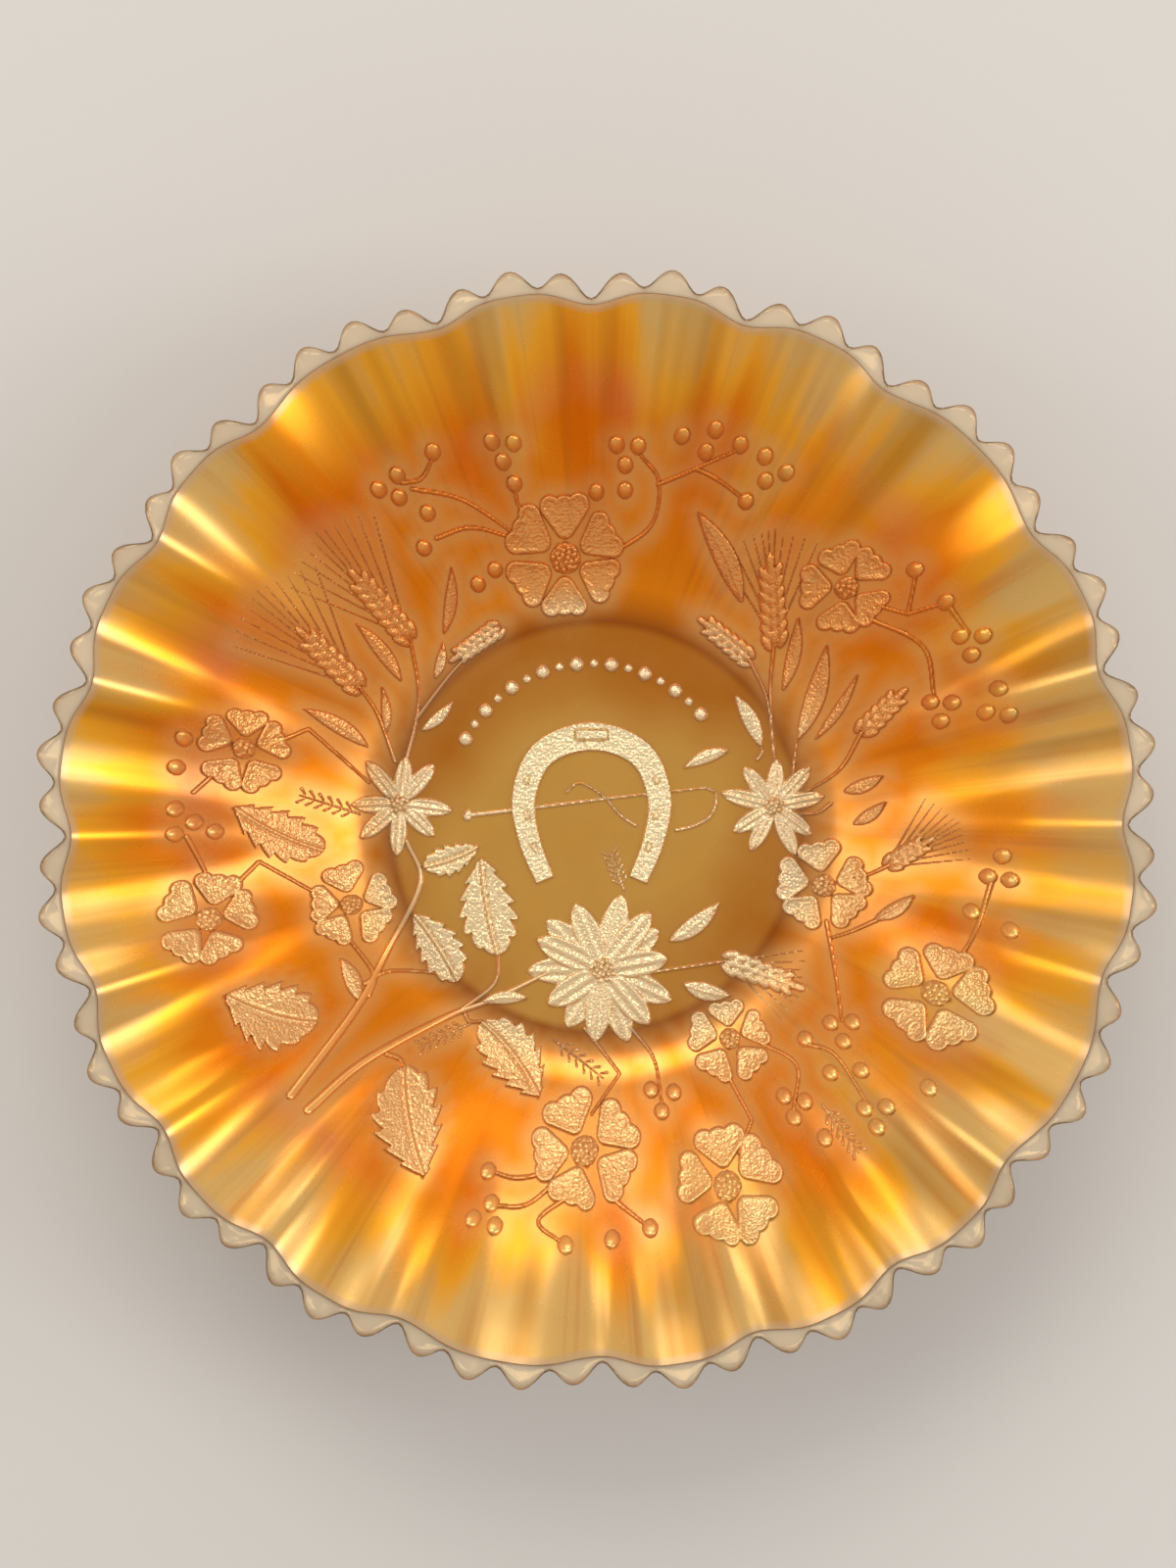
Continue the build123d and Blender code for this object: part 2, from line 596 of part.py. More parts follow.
stem_places = {             # curved lines, kinked lines and the width
    "stalk_left": ([[(-62.5, -54.5), (-50.5, -38.0), (-44.6, -26.5), (-37.6, -12.0)]], [], 1.7),
    "stalk_base": ([[(-59.0, -57.5), (-48.5, -48.8), (-32.0, -40.5), (-22.5, -37.0), (-13.0, -31.5)]], [], 1.7),
    "stems_left": (
        [[(-40.2, 16.5), (-37.9, 27.0), (-39.2, 39.5)], [(-44.0, 17.0), (-46.5, 24.0), (-49.7, 29.2)],
         [(-38.6, 23.0), (-30.0, 34.0), (-20.5, 42.5)], [(-49.0, -33.0), (-43.5, -30.6), (-35.5, -29.5)],
         [(-28.5, -38.8), (-21.8, -33.5), (-21.0, -28.0)]],
        [[(-66.0, 17.2), (-60.5, 20.8), (-50.5, 11.5)], [(-80.8, 10.0), (-76.5, 13.8)],
         [(-75.0, -11.5), (-70.3, -7.0), (-60.5, -14.0)], [(-83.0, -2.5), (-79.5, -9.0)]], 0.9),
    "stems_top": (
        [[(-38.0, 70.0), (-27.5, 68.0), (-17.0, 61.5)], [(-33.5, 60.5), (-26.0, 62.8), (-18.0, 61.0)],
         [(5.5, 59.0), (11.5, 63.5), (13.0, 72.0), (9.2, 76.0)],
         [(12.8, 71.5), (20.5, 74.2), (27.5, 76.8)], [(20.5, 74.2), (25.5, 71.8), (29.5, 69.2)]],
        [], 0.8),
    "stems_right": (
        [[(37.8, 38.2), (37.2, 28.0), (38.3, 15.5)], [(32.8, 35.6), (36.6, 27.0), (38.0, 17.0)],
         [(55.8, 19.6), (51.5, 12.0), (44.5, 7.5)], [(61.0, 41.5), (67.5, 37.5), (70.0, 29.0)],
         [(44.0, 8.0), (42.5, 14.0), (43.0, 18.0)], [(49.0, -22.0), (50.5, -30.0), (51.5, -39.5)],
         [(58.0, -19.5), (54.0, -22.0), (50.0, -23.5)], [(81.0, -12.0), (78.5, -19.0), (75.5, -25.0)],
         [(61.3, -8.2), (57.5, -10.0), (55.0, -9.8)], [(45.5, -46.0), (50.0, -47.0), (56.0, -47.5)]],
        [[(59.0, 45.0), (64.0, 44.2), (65.2, 51.0)], [(64.0, 44.2), (69.5, 45.2)]], 0.8),
    "stems_base": (
        [[(8.5, -44.8), (12.3, -49.5), (13.8, -54.5)], [(36.8, -46.2), (42.0, -49.8), (41.6, -54.6)],
         [(16.0, -31.5), (22.0, -29.5), (27.6, -28.6)], [(2.8, -77.0), (7.0, -79.0), (9.8, -80.8)],
         [(-7.6, -77.5), (-12.0, -80.5), (-7.6, -83.6)], [(-11.5, -72.0), (-16.5, -72.5), (-21.0, -71.2)],
         [(-10.0, -74.5), (-14.5, -77.5), (-20.0, -77.2)]],
        [[(-2.0, -44.5), (5.0, -52.5), (-1.0, -59.0)], [(26.0, -53.0), (32.5, -61.0), (30.0, -66.0)]], 0.8),
}
sprig_places = [
    ((-50.5, 2.8), (-62.5, 6.8)), ((-27.0, -42.0), (-37.5, -46.5)), ((-9.0, -45.5), (1.5, -53.5)),
    ((6.0, -13.5), (3.0, -5.5)), ((47.0, -57.5), (53.5, -66.0)),
]


# ---- Writing the nodes ----
def save(name, shape):
    solids = shape if isinstance(shape, list) else [shape]
    export_step(Compound(children=[s for part in solids for s in part.solids()]), f"parts/{name}.step")


save("well_floor", well_floor())
save("collar_foot", collar_foot())
save("ruffled_wall", ring(wall_section))
save("piecrust_edge", ring(edge_section))
# Motifs in the order in which they lie, uppermost first.
save("horseshoe", horseshoe())
for name, values in daisy_places.items():
    save(name, daisy(*values))
for name, values in blossom_places.items():
    save(name, blossom(*values))
for name, values in berry_places.items():
    save(name, berries(values))
save("bead_band", bead_band())
for name, values in broad_leaf_places.items():
    save(name, broad_leaf(*values))
for name, values in wheat_places.items():
    save(name, wheat_ear(*values))
for name, values in narrow_leaf_places.items():
    save(name, narrow_leaves(values))
save("riding_crop", riding_crop())
for name, (curved, kinked, width) in stem_places.items():
    save(name, stems(curved, kinked, width))
save("sprigs", sprigs(sprig_places))
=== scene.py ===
import math
import bpy
import numpy as np
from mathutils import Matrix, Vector


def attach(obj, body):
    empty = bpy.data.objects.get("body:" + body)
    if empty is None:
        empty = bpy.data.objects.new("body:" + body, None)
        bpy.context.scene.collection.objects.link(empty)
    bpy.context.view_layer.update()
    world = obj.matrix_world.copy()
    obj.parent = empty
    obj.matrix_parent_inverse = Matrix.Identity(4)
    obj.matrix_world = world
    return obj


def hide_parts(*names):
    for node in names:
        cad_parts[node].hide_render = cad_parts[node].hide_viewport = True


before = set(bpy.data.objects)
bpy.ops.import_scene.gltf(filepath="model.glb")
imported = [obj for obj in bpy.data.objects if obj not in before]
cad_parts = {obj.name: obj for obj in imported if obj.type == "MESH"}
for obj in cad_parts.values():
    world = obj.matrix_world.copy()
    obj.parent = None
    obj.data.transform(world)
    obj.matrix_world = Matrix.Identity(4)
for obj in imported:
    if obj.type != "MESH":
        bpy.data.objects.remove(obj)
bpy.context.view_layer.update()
mm = 0.001


def unit(values):  # held between 0 and 1
    return np.clip(values, 0, 1)


def setMode(mode):
    bpy.ops.object.mode_set(mode=mode)


def startClean():  # nothing selected, object mode
    if bpy.context.object and bpy.context.object.mode != "OBJECT":
        setMode("OBJECT")
    bpy.ops.object.select_all(action="DESELECT")


def keepPiece(piece, slot, *nodes):
    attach(piece, "root")
    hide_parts(*nodes)


def readPoints(mesh):
    points = np.empty(len(mesh.vertices) * 3)
    mesh.vertices.foreach_get("co", points)
    return points.reshape(-1, 3)


def writeMark(mesh, name, values):  # a number at each point that the materials read
    mark = mesh.attributes.new(name, "FLOAT", "POINT")
    mark.data.foreach_set("value", values.astype(np.float32))


# The inside of the bowl in millimetres: flat well, heel, belly, flare, and ruffles on top.
bowl = dict(
    wellRadius=44.0, wellTop=7.0, footHeight=3.0, footWidth=4.5,
    heelCurve=20.0, heelSlope=37.0, bellyRadius=84.0, bellySlope=47.0,
    rimRadius=105.6, rimSlope=32.0, wall=3.6, ribDepth=0.9, ribRunIn=8.0,
    ruffleTeeth=[3, 3, 4, 3, 3, 3, 4, 3, 3, 3, 4, 3, 3, 3, 3, 3, 3, 3, 4, 3],
    ruffleStart=58.0, ruffleDrop=2.8, ruffleReach=1.7, ringTurn=-0.6,
    toothLength=4.7, notchLength=1.1, toothPlump=0.35, toothBase=2.7, toothTip=1.5, toothRise=0.30,
    toothStep=0.55,
)
toothCount = sum(bowl["ruffleTeeth"])
toothAngle = 360 / toothCount
crimps = np.concatenate([[0], np.cumsum(bowl["ruffleTeeth"])]).astype(float)


def sind(a):
    return np.sin(np.radians(a))


def cosd(a):
    return np.cos(np.radians(a))


heelEnd = bowl["wellRadius"] + bowl["heelCurve"] * sind(bowl["heelSlope"])
heelEndHeight = bowl["wellTop"] + bowl["heelCurve"] * (1 - cosd(bowl["heelSlope"]))
bellyCurve = (bowl["bellyRadius"] - heelEnd) / (sind(bowl["bellySlope"]) - sind(bowl["heelSlope"]))
bellyEndHeight = heelEndHeight + bellyCurve * (cosd(bowl["heelSlope"]) - cosd(bowl["bellySlope"]))
flareCurve = (bowl["rimRadius"] - bowl["bellyRadius"]) / (sind(bowl["bellySlope"]) - sind(bowl["rimSlope"]))


def slopeSine(r):
    heel = (r - bowl["wellRadius"]) / bowl["heelCurve"]
    belly = sind(bowl["heelSlope"]) + (r - heelEnd) / bellyCurve
    flare = sind(bowl["bellySlope"]) - (r - bowl["bellyRadius"]) / flareCurve
    slope = np.where(r <= heelEnd, heel, np.where(r <= bowl["bellyRadius"], belly, flare))
    return np.where(r <= bowl["wellRadius"], 0.0, slope)


def sectionHeight(r):
    level = np.sqrt(1 - slopeSine(r) ** 2)
    heel = bowl["wellTop"] + bowl["heelCurve"] * (1 - level)
    belly = heelEndHeight + bellyCurve * (cosd(bowl["heelSlope"]) - level)
    flare = bellyEndHeight + flareCurve * (level - cosd(bowl["bellySlope"]))
    return np.where(r <= heelEnd, heel, np.where(r <= bowl["bellyRadius"], belly, flare))


def ruffleWave(clock):  # 1 mid-ruffle, -1 in a crimp; clock is clockwise from +Y
    spot = np.mod(clock - bowl["ringTurn"], 360) / toothAngle
    k = np.clip(np.searchsorted(crimps, spot, side="right") - 1, 0, len(crimps) - 2)
    share = (spot - crimps[k]) / (crimps[k + 1] - crimps[k])
    return 1 - 2 * (0.5 + 0.5 * np.cos(2 * np.pi * share)) ** 2


def ruffleGrowth(r):
    share = unit((r - bowl["ruffleStart"]) / (bowl["rimRadius"] - bowl["ruffleStart"]))
    return share * share * (3 - 2 * share)


def toothWave(clock):  # 1 at a tooth's tip, 0 in a notch
    return 0.5 - 0.5 * np.cos(2 * np.pi * (clock - bowl["ringTurn"]) / toothAngle)


def insideHeight(r, clock):
    return sectionHeight(r) - bowl["ruffleDrop"] * ruffleGrowth(r) * ruffleWave(clock)


def insideAt(x, y):
    return insideHeight(np.minimum(np.hypot(x, y), bowl["rimRadius"]), np.degrees(np.arctan2(x, y)))


def edgeAt(clock):  # radius where the teeth start, their length, and the height of their root
    line = bowl["rimRadius"] + bowl["ruffleReach"] * ruffleWave(clock)
    tooth = toothWave(clock)
    fullness = tooth * (1 + bowl["toothPlump"] - bowl["toothPlump"] * tooth)
    length = bowl["notchLength"] + (bowl["toothLength"] - bowl["notchLength"]) * fullness
    return line, length, insideHeight(line, clock) - bowl["toothStep"]


# Light, floor and camera first.
room = dict(
    floorSize=24, floorHeight=-0.0003, floorColour=(0.51, 0.485, 0.455), floorRoughness=0.75,
    skyColour=(1.0, 0.98, 0.95), skyStrength=0.74, aim=(0, 0, 0.03),
    cameraPlace=(-0.00175, 0.0092, 0.654), lens=69.45, sensor=36, nearest=0.01,
)
lamps = {  # spot, width, depth, power and colour
    "key_softbox": ((-0.24, 1.45, 1.80), 1.4, 1.0, 21.0, (1, 0.96, 0.90)),
    "low_softbox": ((0.15, 1.90, 0.45), 1.6, 0.4, 7.0, (1, 0.96, 0.90)),
    "left_strip": ((-0.9, 0.1, 0.55), 0.35, 0.9, 2.6, (1, 0.99, 0.97)),
    "right_strip": ((0.9, 0.0, 0.6), 0.35, 0.9, 4.42, (0.97, 0.98, 1)),
}

startClean()
bpy.ops.mesh.primitive_plane_add(size=room["floorSize"], location=(0, 0, room["floorHeight"]))
floor = bpy.context.object
floor.name = "table_top"
paint = bpy.data.materials.new("pale_table")
paint.use_nodes = True
shader = paint.node_tree.nodes["Principled BSDF"]
shader.inputs["Base Color"].default_value = (*room["floorColour"], 1)
shader.inputs["Roughness"].default_value = room["floorRoughness"]
floor.data.materials.append(paint)

world = bpy.data.worlds.new("soft_room")
world.use_nodes = True
sky = world.node_tree.nodes["Background"]
sky.inputs["Color"].default_value = (*room["skyColour"], 1)
sky.inputs["Strength"].default_value = room["skyStrength"]
bpy.context.scene.world = world

for name, (spot, width, depth, power, colour) in lamps.items():
    bpy.ops.object.light_add(type="AREA", location=spot)
    light = bpy.context.object
    light.name = name
    light.data.shape = "RECTANGLE"
    light.data.size, light.data.size_y = width, depth
    light.data.energy = power
    light.data.color = colour
    light.rotation_euler = (Vector(room["aim"]) - Vector(spot)).to_track_quat("-Z", "Y").to_euler()

bpy.ops.object.camera_add(location=room["cameraPlace"], rotation=(0, 0, 0))
camera = bpy.context.object
camera.data.lens = room["lens"]
camera.data.sensor_width = room["sensor"]
camera.data.clip_start = room["nearest"]
bpy.context.scene.camera = camera
bpy.context.scene.view_settings.view_transform = "Standard"  # keeps bright orange from turning pink
print("studio ready")


# The colour runs from a yellow well through deep orange to a pale rim, in soft patches.
tones = dict(
    well=(0.56, 0.285, 0.055), wellRim=(0.42, 0.13, 0.008), heel=(0.30, 0.07, 0.004),
    deep=(0.74, 0.205, 0.003), gold=(0.82, 0.35, 0.02), pale=(0.66, 0.40, 0.125), amber=(0.40, 0.165, 0.015),
    streak=(0.46, 0.11, 0.003), blush=(0.64, 0.19, 0.15), halo=(0.70, 0.44, 0.17),
    # the outline tone is painted shade for the dark lines round the motifs and the teeth, partly the teeth's
    # own brown tint
    silver=(0.84, 0.70, 0.44), edge=(0.93, 0.80, 0.60), outline=(0.42, 0.22, 0.10),
)
rings = dict(  # distance from the middle in metres, and the tone or strength there
    wall=[(0, "deep"), (0.079, "deep"), (0.093, "gold"), (0.104, "pale"), (0.120, "pale")],
    wellTone=[(0.024, "well"), (0.046, "wellRim")],
    wellEdge=[(0.0438, 0), (0.0450, 1)],
    heel=[(0.0424, 0), (0.0440, 1), (0.0468, 0.60), (0.0520, 0)],
    blush=[(0.074, 0), (0.084, 1), (0.096, 0)],
)
patterns = dict(  # scale, detail and roughness of each noise
    clouds=(24.0, 2.0), rays=(5.5, 3.0, 0.6), blush=(34.0, 1.0), amber=(9.0, 2.0, 0.55),
    streak=(22.0, 3.0, 0.6), film=(22.0, 1.5), satin=(90.0, 3.0),
)
rises = dict(  # where each mask starts, and how steeply it rises
    blush=(0.51, 7.0), amber=(0.50, 6.0), rim=(0.070, 40.0), streak=(0.50, 7.0), wall=(0.046, 90.0),
    # upper starts the painted shade on the upper half of the motifs
    broken=(0.30, 3.0), inner=(0.052, -90.0), upper=(-0.025, 15.0),
)
look = dict(
    sockets={"Metallic": 0.58, "Transmission Weight": 0.22, "IOR": 1.5, "Thin Film IOR": 1.5,
             "Specular Tint": (1.0, 0.68, 0.30, 1)},
    roughness=0.27, satin=0.14, polish=0.75, clearGlass=0.62, filmThin=200.0, filmRange=300.0,
    ringReach=0.120, offCentre=(0.001, -0.004, 0), cloudDrift=0.040, rayDrift=0.075,
    # the well's top darkening on this line and the edge line, outline and upper-half strengths on the next
    # line are painted shade
    wellDrift=1.4, wellTopShade=0.17,
    blush=0.4, amber=0.65, streak=0.42, halo=0.46, edgeShadeLine=0.66, outline=0.55, innerShare=0.14, upperShadeShare=0.55,
    grainScale=1700.0, grainDepth=0.0003,
)


def newMaterial(name):
    material = bpy.data.materials.new(name)
    material.use_nodes = True
    net = material.node_tree
    return material, net, net.nodes["Principled BSDF"]


def addNode(net, kind, **values):
    node = net.nodes.new(kind)
    for key, value in values.items():
        if key in node.inputs:
            node.inputs[key].default_value = value
        else:
            setattr(node, key, value)
    return node


def maths(net, operation, a, b=None, clamp=False):
    node = net.nodes.new("ShaderNodeMath")
    node.operation = operation
    node.use_clamp = clamp
    for socket, value in zip(node.inputs, (a, b)):
        if isinstance(value, (int, float)):
            socket.default_value = value
        elif value is not None:
            net.links.new(value, socket)
    return node.outputs[0]


def times(net, first, *others):
    for other in others:
        first = maths(net, "MULTIPLY", first, other)
    return first


def rise(net, value, name):  # 0 up to a start, then a straight rise to 1
    start, gain = rises[name]
    return maths(net, "MULTIPLY", maths(net, "SUBTRACT", value, start), gain, clamp=True)


def mixColour(net, share, a, b):
    node = net.nodes.new("ShaderNodeMix")
    node.data_type = "RGBA"
    for socket, value in ((node.inputs[0], share), (node.inputs[6], a), (node.inputs[7], b)):
        if isinstance(value, (int, float)):
            socket.default_value = value
        elif isinstance(value, tuple):
            socket.default_value = (*value, 1)
        else:
            net.links.new(value, socket)
    return node.outputs[2]


def noise(net, spot, name):
    node = addNode(net, "ShaderNodeTexNoise")
    for key, value in zip(("Scale", "Detail", "Roughness"), patterns[name]):
        node.inputs[key].default_value = value
    net.links.new(spot, node.inputs["Vector"])
    return node.outputs["Fac"]


def attribute(net, name):
    node = addNode(net, "ShaderNodeAttribute", attribute_name=name, attribute_type="GEOMETRY")
    return node.outputs["Fac"]


def ringRamp(net, distance, stops):
    ramp = addNode(net, "ShaderNodeValToRGB")
    net.links.new(maths(net, "DIVIDE", distance, look["ringReach"], clamp=True), ramp.inputs[0])
    marks = ramp.color_ramp.elements
    stops = [(at / look["ringReach"], (*tones[key], 1) if isinstance(key, str) else (key, key, key, 1))
             for at, key in stops]
    for i, stop in ((0, stops[0]), (1, stops[-1])):
        marks[i].position, marks[i].color = stop
    for at, colour in stops[1:-1]:
        marks.new(at).color = colour
    return ramp.outputs[0]


def fromMiddle(net, spot):  # and the y coordinate
    split = addNode(net, "ShaderNodeSeparateXYZ")
    net.links.new(spot, split.inputs[0])
    squares = [maths(net, "POWER", split.outputs[i], 2.0) for i in (0, 1)]
    return maths(net, "SQRT", maths(net, "ADD", *squares)), split.outputs[1]


def radialColour(net):
    spot = addNode(net, "ShaderNodeTexCoord").outputs["Object"]
    shift = addNode(net, "ShaderNodeMapping", Location=look["offCentre"])
    net.links.new(spot, shift.inputs["Vector"])
    shifted = shift.outputs[0]
    level = addNode(net, "ShaderNodeVectorMath", operation="MULTIPLY")
    level.inputs[1].default_value = (1, 1, 0)
    outward = addNode(net, "ShaderNodeVectorMath", operation="NORMALIZE")
    net.links.new(spot, level.inputs[0])
    net.links.new(level.outputs[0], outward.inputs[0])
    outward = outward.outputs[0]
    radius, upward = fromMiddle(net, spot)
    looseRadius = fromMiddle(net, shifted)[0]

    clouds = noise(net, spot, "clouds")
    rays = noise(net, outward, "rays")  # streaks that run down the flutes
    wander = times(net, maths(net, "SUBTRACT", clouds, 0.5), look["cloudDrift"])
    spread = times(net, maths(net, "SUBTRACT", rays, 0.5), look["rayDrift"])
    wallPlace = maths(net, "ADD", looseRadius, maths(net, "ADD", wander, spread))
    topShadeShift = times(net, upward, look["wellTopShade"])  # painted shade: the top of the well is darker, the bottom lighter
    shadedWellRadius = maths(net, "ADD", radius, topShadeShift)
    wellPlace = maths(net, "ADD", shadedWellRadius, times(net, wander, look["wellDrift"]))
    onWall = ringRamp(net, radius, rings["wellEdge"])
    wellColour = ringRamp(net, wellPlace, rings["wellTone"])
    colour = mixColour(net, onWall, wellColour, ringRamp(net, wallPlace, rings["wall"]))
    turnedUp = ringRamp(net, radius, rings["heel"])  # where the wall turns up
    colour = mixColour(net, turnedUp, colour, tones["heel"])

    rosy = rise(net, noise(net, shifted, "blush"), "blush")
    rosy = times(net, rosy, ringRamp(net, radius, rings["blush"]), look["blush"])
    colour = mixColour(net, rosy, colour, tones["blush"])
    dusky = rise(net, noise(net, outward, "amber"), "amber")  # darker amber flutes near the rim
    dusky = times(net, dusky, rise(net, radius, "rim"), look["amber"])
    colour = mixColour(net, dusky, colour, tones["amber"])
    fanned = rise(net, noise(net, outward, "streak"), "streak")  # thin streaks that fan out from the heel
    broken = rise(net, clouds, "broken")
    fanned = times(net, fanned, rise(net, radius, "wall"), broken, look["streak"])
    return mixColour(net, fanned, colour, tones["streak"]), spot, radius, upward


def glassShader(net, shader, spot, polish=None):
    for socket, value in look["sockets"].items():
        shader.inputs[socket].default_value = value
    film = times(net, noise(net, spot, "film"), look["filmRange"])
    net.links.new(maths(net, "ADD", film, look["filmThin"]), shader.inputs["Thin Film Thickness"])
    rough = times(net, noise(net, spot, "satin"), look["satin"])
    rough = maths(net, "ADD", rough, look["roughness"] - look["satin"] / 2)
    if polish:
        dulled = maths(net, "SUBTRACT", 1.0, times(net, polish, look["polish"]))
        rough = times(net, rough, dulled)
    net.links.new(rough, shader.inputs["Roughness"])


def stippleBump(net, shader, spot, strength):
    cells = addNode(net, "ShaderNodeTexVoronoi", Scale=look["grainScale"])
    net.links.new(spot, cells.inputs["Vector"])
    bump = addNode(net, "ShaderNodeBump", Strength=strength, Distance=look["grainDepth"], invert=True)
    net.links.new(cells.outputs["Distance"], bump.inputs["Height"])
    net.links.new(bump.outputs[0], shader.inputs["Normal"])


def bodyGlass():
    material, net, shader = newMaterial("marigold_body")
    colour, spot = radialColour(net)[:2]
    clear = attribute(net, "clearEdge")
    haze = times(net, attribute(net, "paleHalo"), look["halo"])
    # painted shade: a dark line round the tooth edges and along the step where the teeth meet the wall,
    # partly the teeth's own brown tint
    line = times(net, attribute(net, "edgeShadeLine"), look["edgeShadeLine"])
    for share, tone in ((haze, "halo"), (clear, "edge"), (line, "outline")):
        colour = mixColour(net, share, colour, tones[tone])
    net.links.new(colour, shader.inputs["Base Color"])
    glassShader(net, shader, spot, clear)
    least = look["sockets"]["Transmission Weight"]
    clearer = maths(net, "ADD", times(net, clear, look["clearGlass"]), least)
    net.links.new(clearer, shader.inputs["Transmission Weight"])
    sprayed = times(net, maths(net, "SUBTRACT", 1.0, clear), look["sockets"]["Metallic"])
    net.links.new(sprayed, shader.inputs["Metallic"])
    return material


def reliefGlass(name, pale, share, grain):
    material, net, shader = newMaterial(name)
    colour, spot, radius, upward = radialColour(net)
    inner = rise(net, radius, "inner")  # paler over the clear well
    # painted light and shade: the motifs are paler on the lower half and less pale on the upper half
    upperShade = times(net, rise(net, upward, "upper"), maths(net, "SUBTRACT", 1.0, inner))
    upperShade = times(net, upperShade, look["upperShadeShare"] * share)
    lighter = maths(net, "ADD", times(net, inner, look["innerShare"]), share)
    lighter = maths(net, "SUBTRACT", lighter, upperShade)
    colour = mixColour(net, lighter, colour, mixColour(net, inner, pale, tones["silver"]))
    # painted shade: a dark line round each motif's edge
    line = times(net, attribute(net, "outline"), look["outline"])
    net.links.new(mixColour(net, line, colour, tones["outline"]), shader.inputs["Base Color"])
    glassShader(net, shader, spot)
    if grain:
        stippleBump(net, shader, spot, grain)
    return material


glass = dict(  # the pale tone, how far it covers, and how strong the stipple is
    body=bodyGlass(),
    flower_glass=reliefGlass("marigold_flower", (0.82, 0.66, 0.33), 0.60, 0.50),
    leaf_glass=reliefGlass("marigold_leaf", (0.80, 0.64, 0.33), 0.58, 0.50),
    berry_glass=reliefGlass("marigold_berry", (0.88, 0.68, 0.30), 0.48, 0),
    stem_glass=reliefGlass("marigold_stem", (0.84, 0.60, 0.26), 0.42, 0),
    emblem_glass=reliefGlass("marigold_emblem", (0.84, 0.73, 0.52), 0.72, 0.55),
)
print("finishes ready")


# A motif is a distance in plan, positive inside, and a height on the glass, in millimetres.
relief = dict(
    pitch=0.26, flowerPitch=0.20, sunk=0.22, under=0.35, raised=0.55, skirt=1.3,
    grainPitch=0.72, grainHeight=0.17, grainJitter=0.7, grainRadius=0.55, outside=-99.0, beyond=0.3,
    outlineShadeMiddle=-0.11, outlineShadeWidth=0.22, sharpEdge=55, drop=9.0, trim=1.2,
)


def raised(d, height, width=relief["raised"]):
    share = unit(d / width)
    skirt = np.maximum(d * relief["skirt"], -relief["sunk"])
    return np.where(d > 0, height * np.sqrt(1 - (1 - share) ** 2), skirt)


def ease(d, start, width):  # 0 up to start, 1 from start + width
    return unit((d - start) / width)


def scatter(a, b):
    n = np.sin(a + b) * 43758.5453
    return n - np.floor(n)


def stipple(x, y, seed=0):  # small round grains on a jittered grid
    pitch, jitter = relief["grainPitch"], relief["grainJitter"]
    cx, cy = np.floor(x / pitch), np.floor(y / pitch)
    best = np.full(x.shape, 9.0)
    for i in (-1, 0, 1):
        for j in (-1, 0, 1):
            a, b = cx + i, cy + j
            px = (a + 0.5 + jitter * (scatter(a * 127.1 + b * 311.7, seed * 7.3) - 0.5)) * pitch
            py = (b + 0.5 + jitter * (scatter(a * 269.5 + b * 183.3, seed * 3.1) - 0.5)) * pitch
            best = np.minimum(best, np.hypot(x - px, y - py))
    return relief["grainHeight"] * unit(1 - (best / (relief["grainRadius"] * pitch)) ** 2)


def alongLine(x, y, ax, ay, bx, by):  # share of the way from a to b, and the distance from the line
    dx, dy = bx - ax, by - ay
    t = unit(((x - ax) * dx + (y - ay) * dy) / (dx * dx + dy * dy + 1e-9))
    return t, np.hypot(x - ax - dx * t, y - ay - dy * t)


def cone(x, y, ax, ay, bx, by, ra, rb):
    t, away = alongLine(x, y, ax, ay, bx, by)
    return ra + (rb - ra) * t - away


def lineField(x, y, points, widths):  # distance inside a band along a line
    best = np.full(x.shape, relief["outside"])
    for i in range(len(points) - 1):
        best = np.maximum(best, cone(x, y, *points[i], *points[i + 1], widths[i], widths[i + 1]))
    return best


def smoothLine(points, steps=7):  # Catmull-Rom through the given points
    if len(points) < 3:
        return points
    p = [np.array(q, float) for q in points]
    p = [2 * p[0] - p[1], *p, 2 * p[-1] - p[-2]]
    line = []
    for a, b, c, d in zip(p, p[1:], p[2:], p[3:]):
        for t in (s / steps for s in range(steps)):
            line.append(tuple(0.5 * (2 * b + (c - a) * t
                + (2 * a - 5 * b + 4 * c - d) * t * t
                + (3 * b - a - 3 * c + d) * t ** 3)))
    line.append(tuple(p[-2]))
    return line


def local(x, y, centre, turn):  # motif coordinates: v points along the turn, clockwise from +Y
    dx, dy = x - centre[0], y - centre[1]
    return dx * cosd(turn) - dy * sind(turn), dx * sind(turn) + dy * cosd(turn)


def fromBase(x, y, base, tip):  # coordinates along a motif that runs from base to tip, and its length
    dx, dy = tip[0] - base[0], tip[1] - base[1]
    u, v = local(x, y, base, math.degrees(math.atan2(dx, dy)))
    return u, v, math.hypot(dx, dy)


def blank(x):
    return np.full(x.shape, relief["outside"]), np.full(x.shape, -relief["sunk"])


boss = dict(
    height=1.7, dome=0.60, bead=0.78, beadRadius=0.60, crowding=2.1, fewest=8, spread=0.93, turn=2.399963,
)


def beadedBoss(u, v, radius):
    away = np.hypot(u, v)
    dome = boss["height"] * unit(1 - (away / radius) ** 2) ** 0.5
    beads = np.zeros(u.shape)
    count = max(boss["fewest"], int(radius * radius * boss["crowding"]))
    for i in range(count):
        ring = radius * boss["spread"] * math.sqrt((i + 0.5) / count)
        turn = i * boss["turn"]
        near = np.hypot(u - ring * math.cos(turn), v - ring * math.sin(turn)) / boss["beadRadius"]
        beads = np.maximum(beads, unit(1 - near ** 2))
    height = dome * boss["dome"] + boss["bead"] * np.sqrt(beads)
    return radius - away, np.where(radius > away, height, -relief["sunk"])


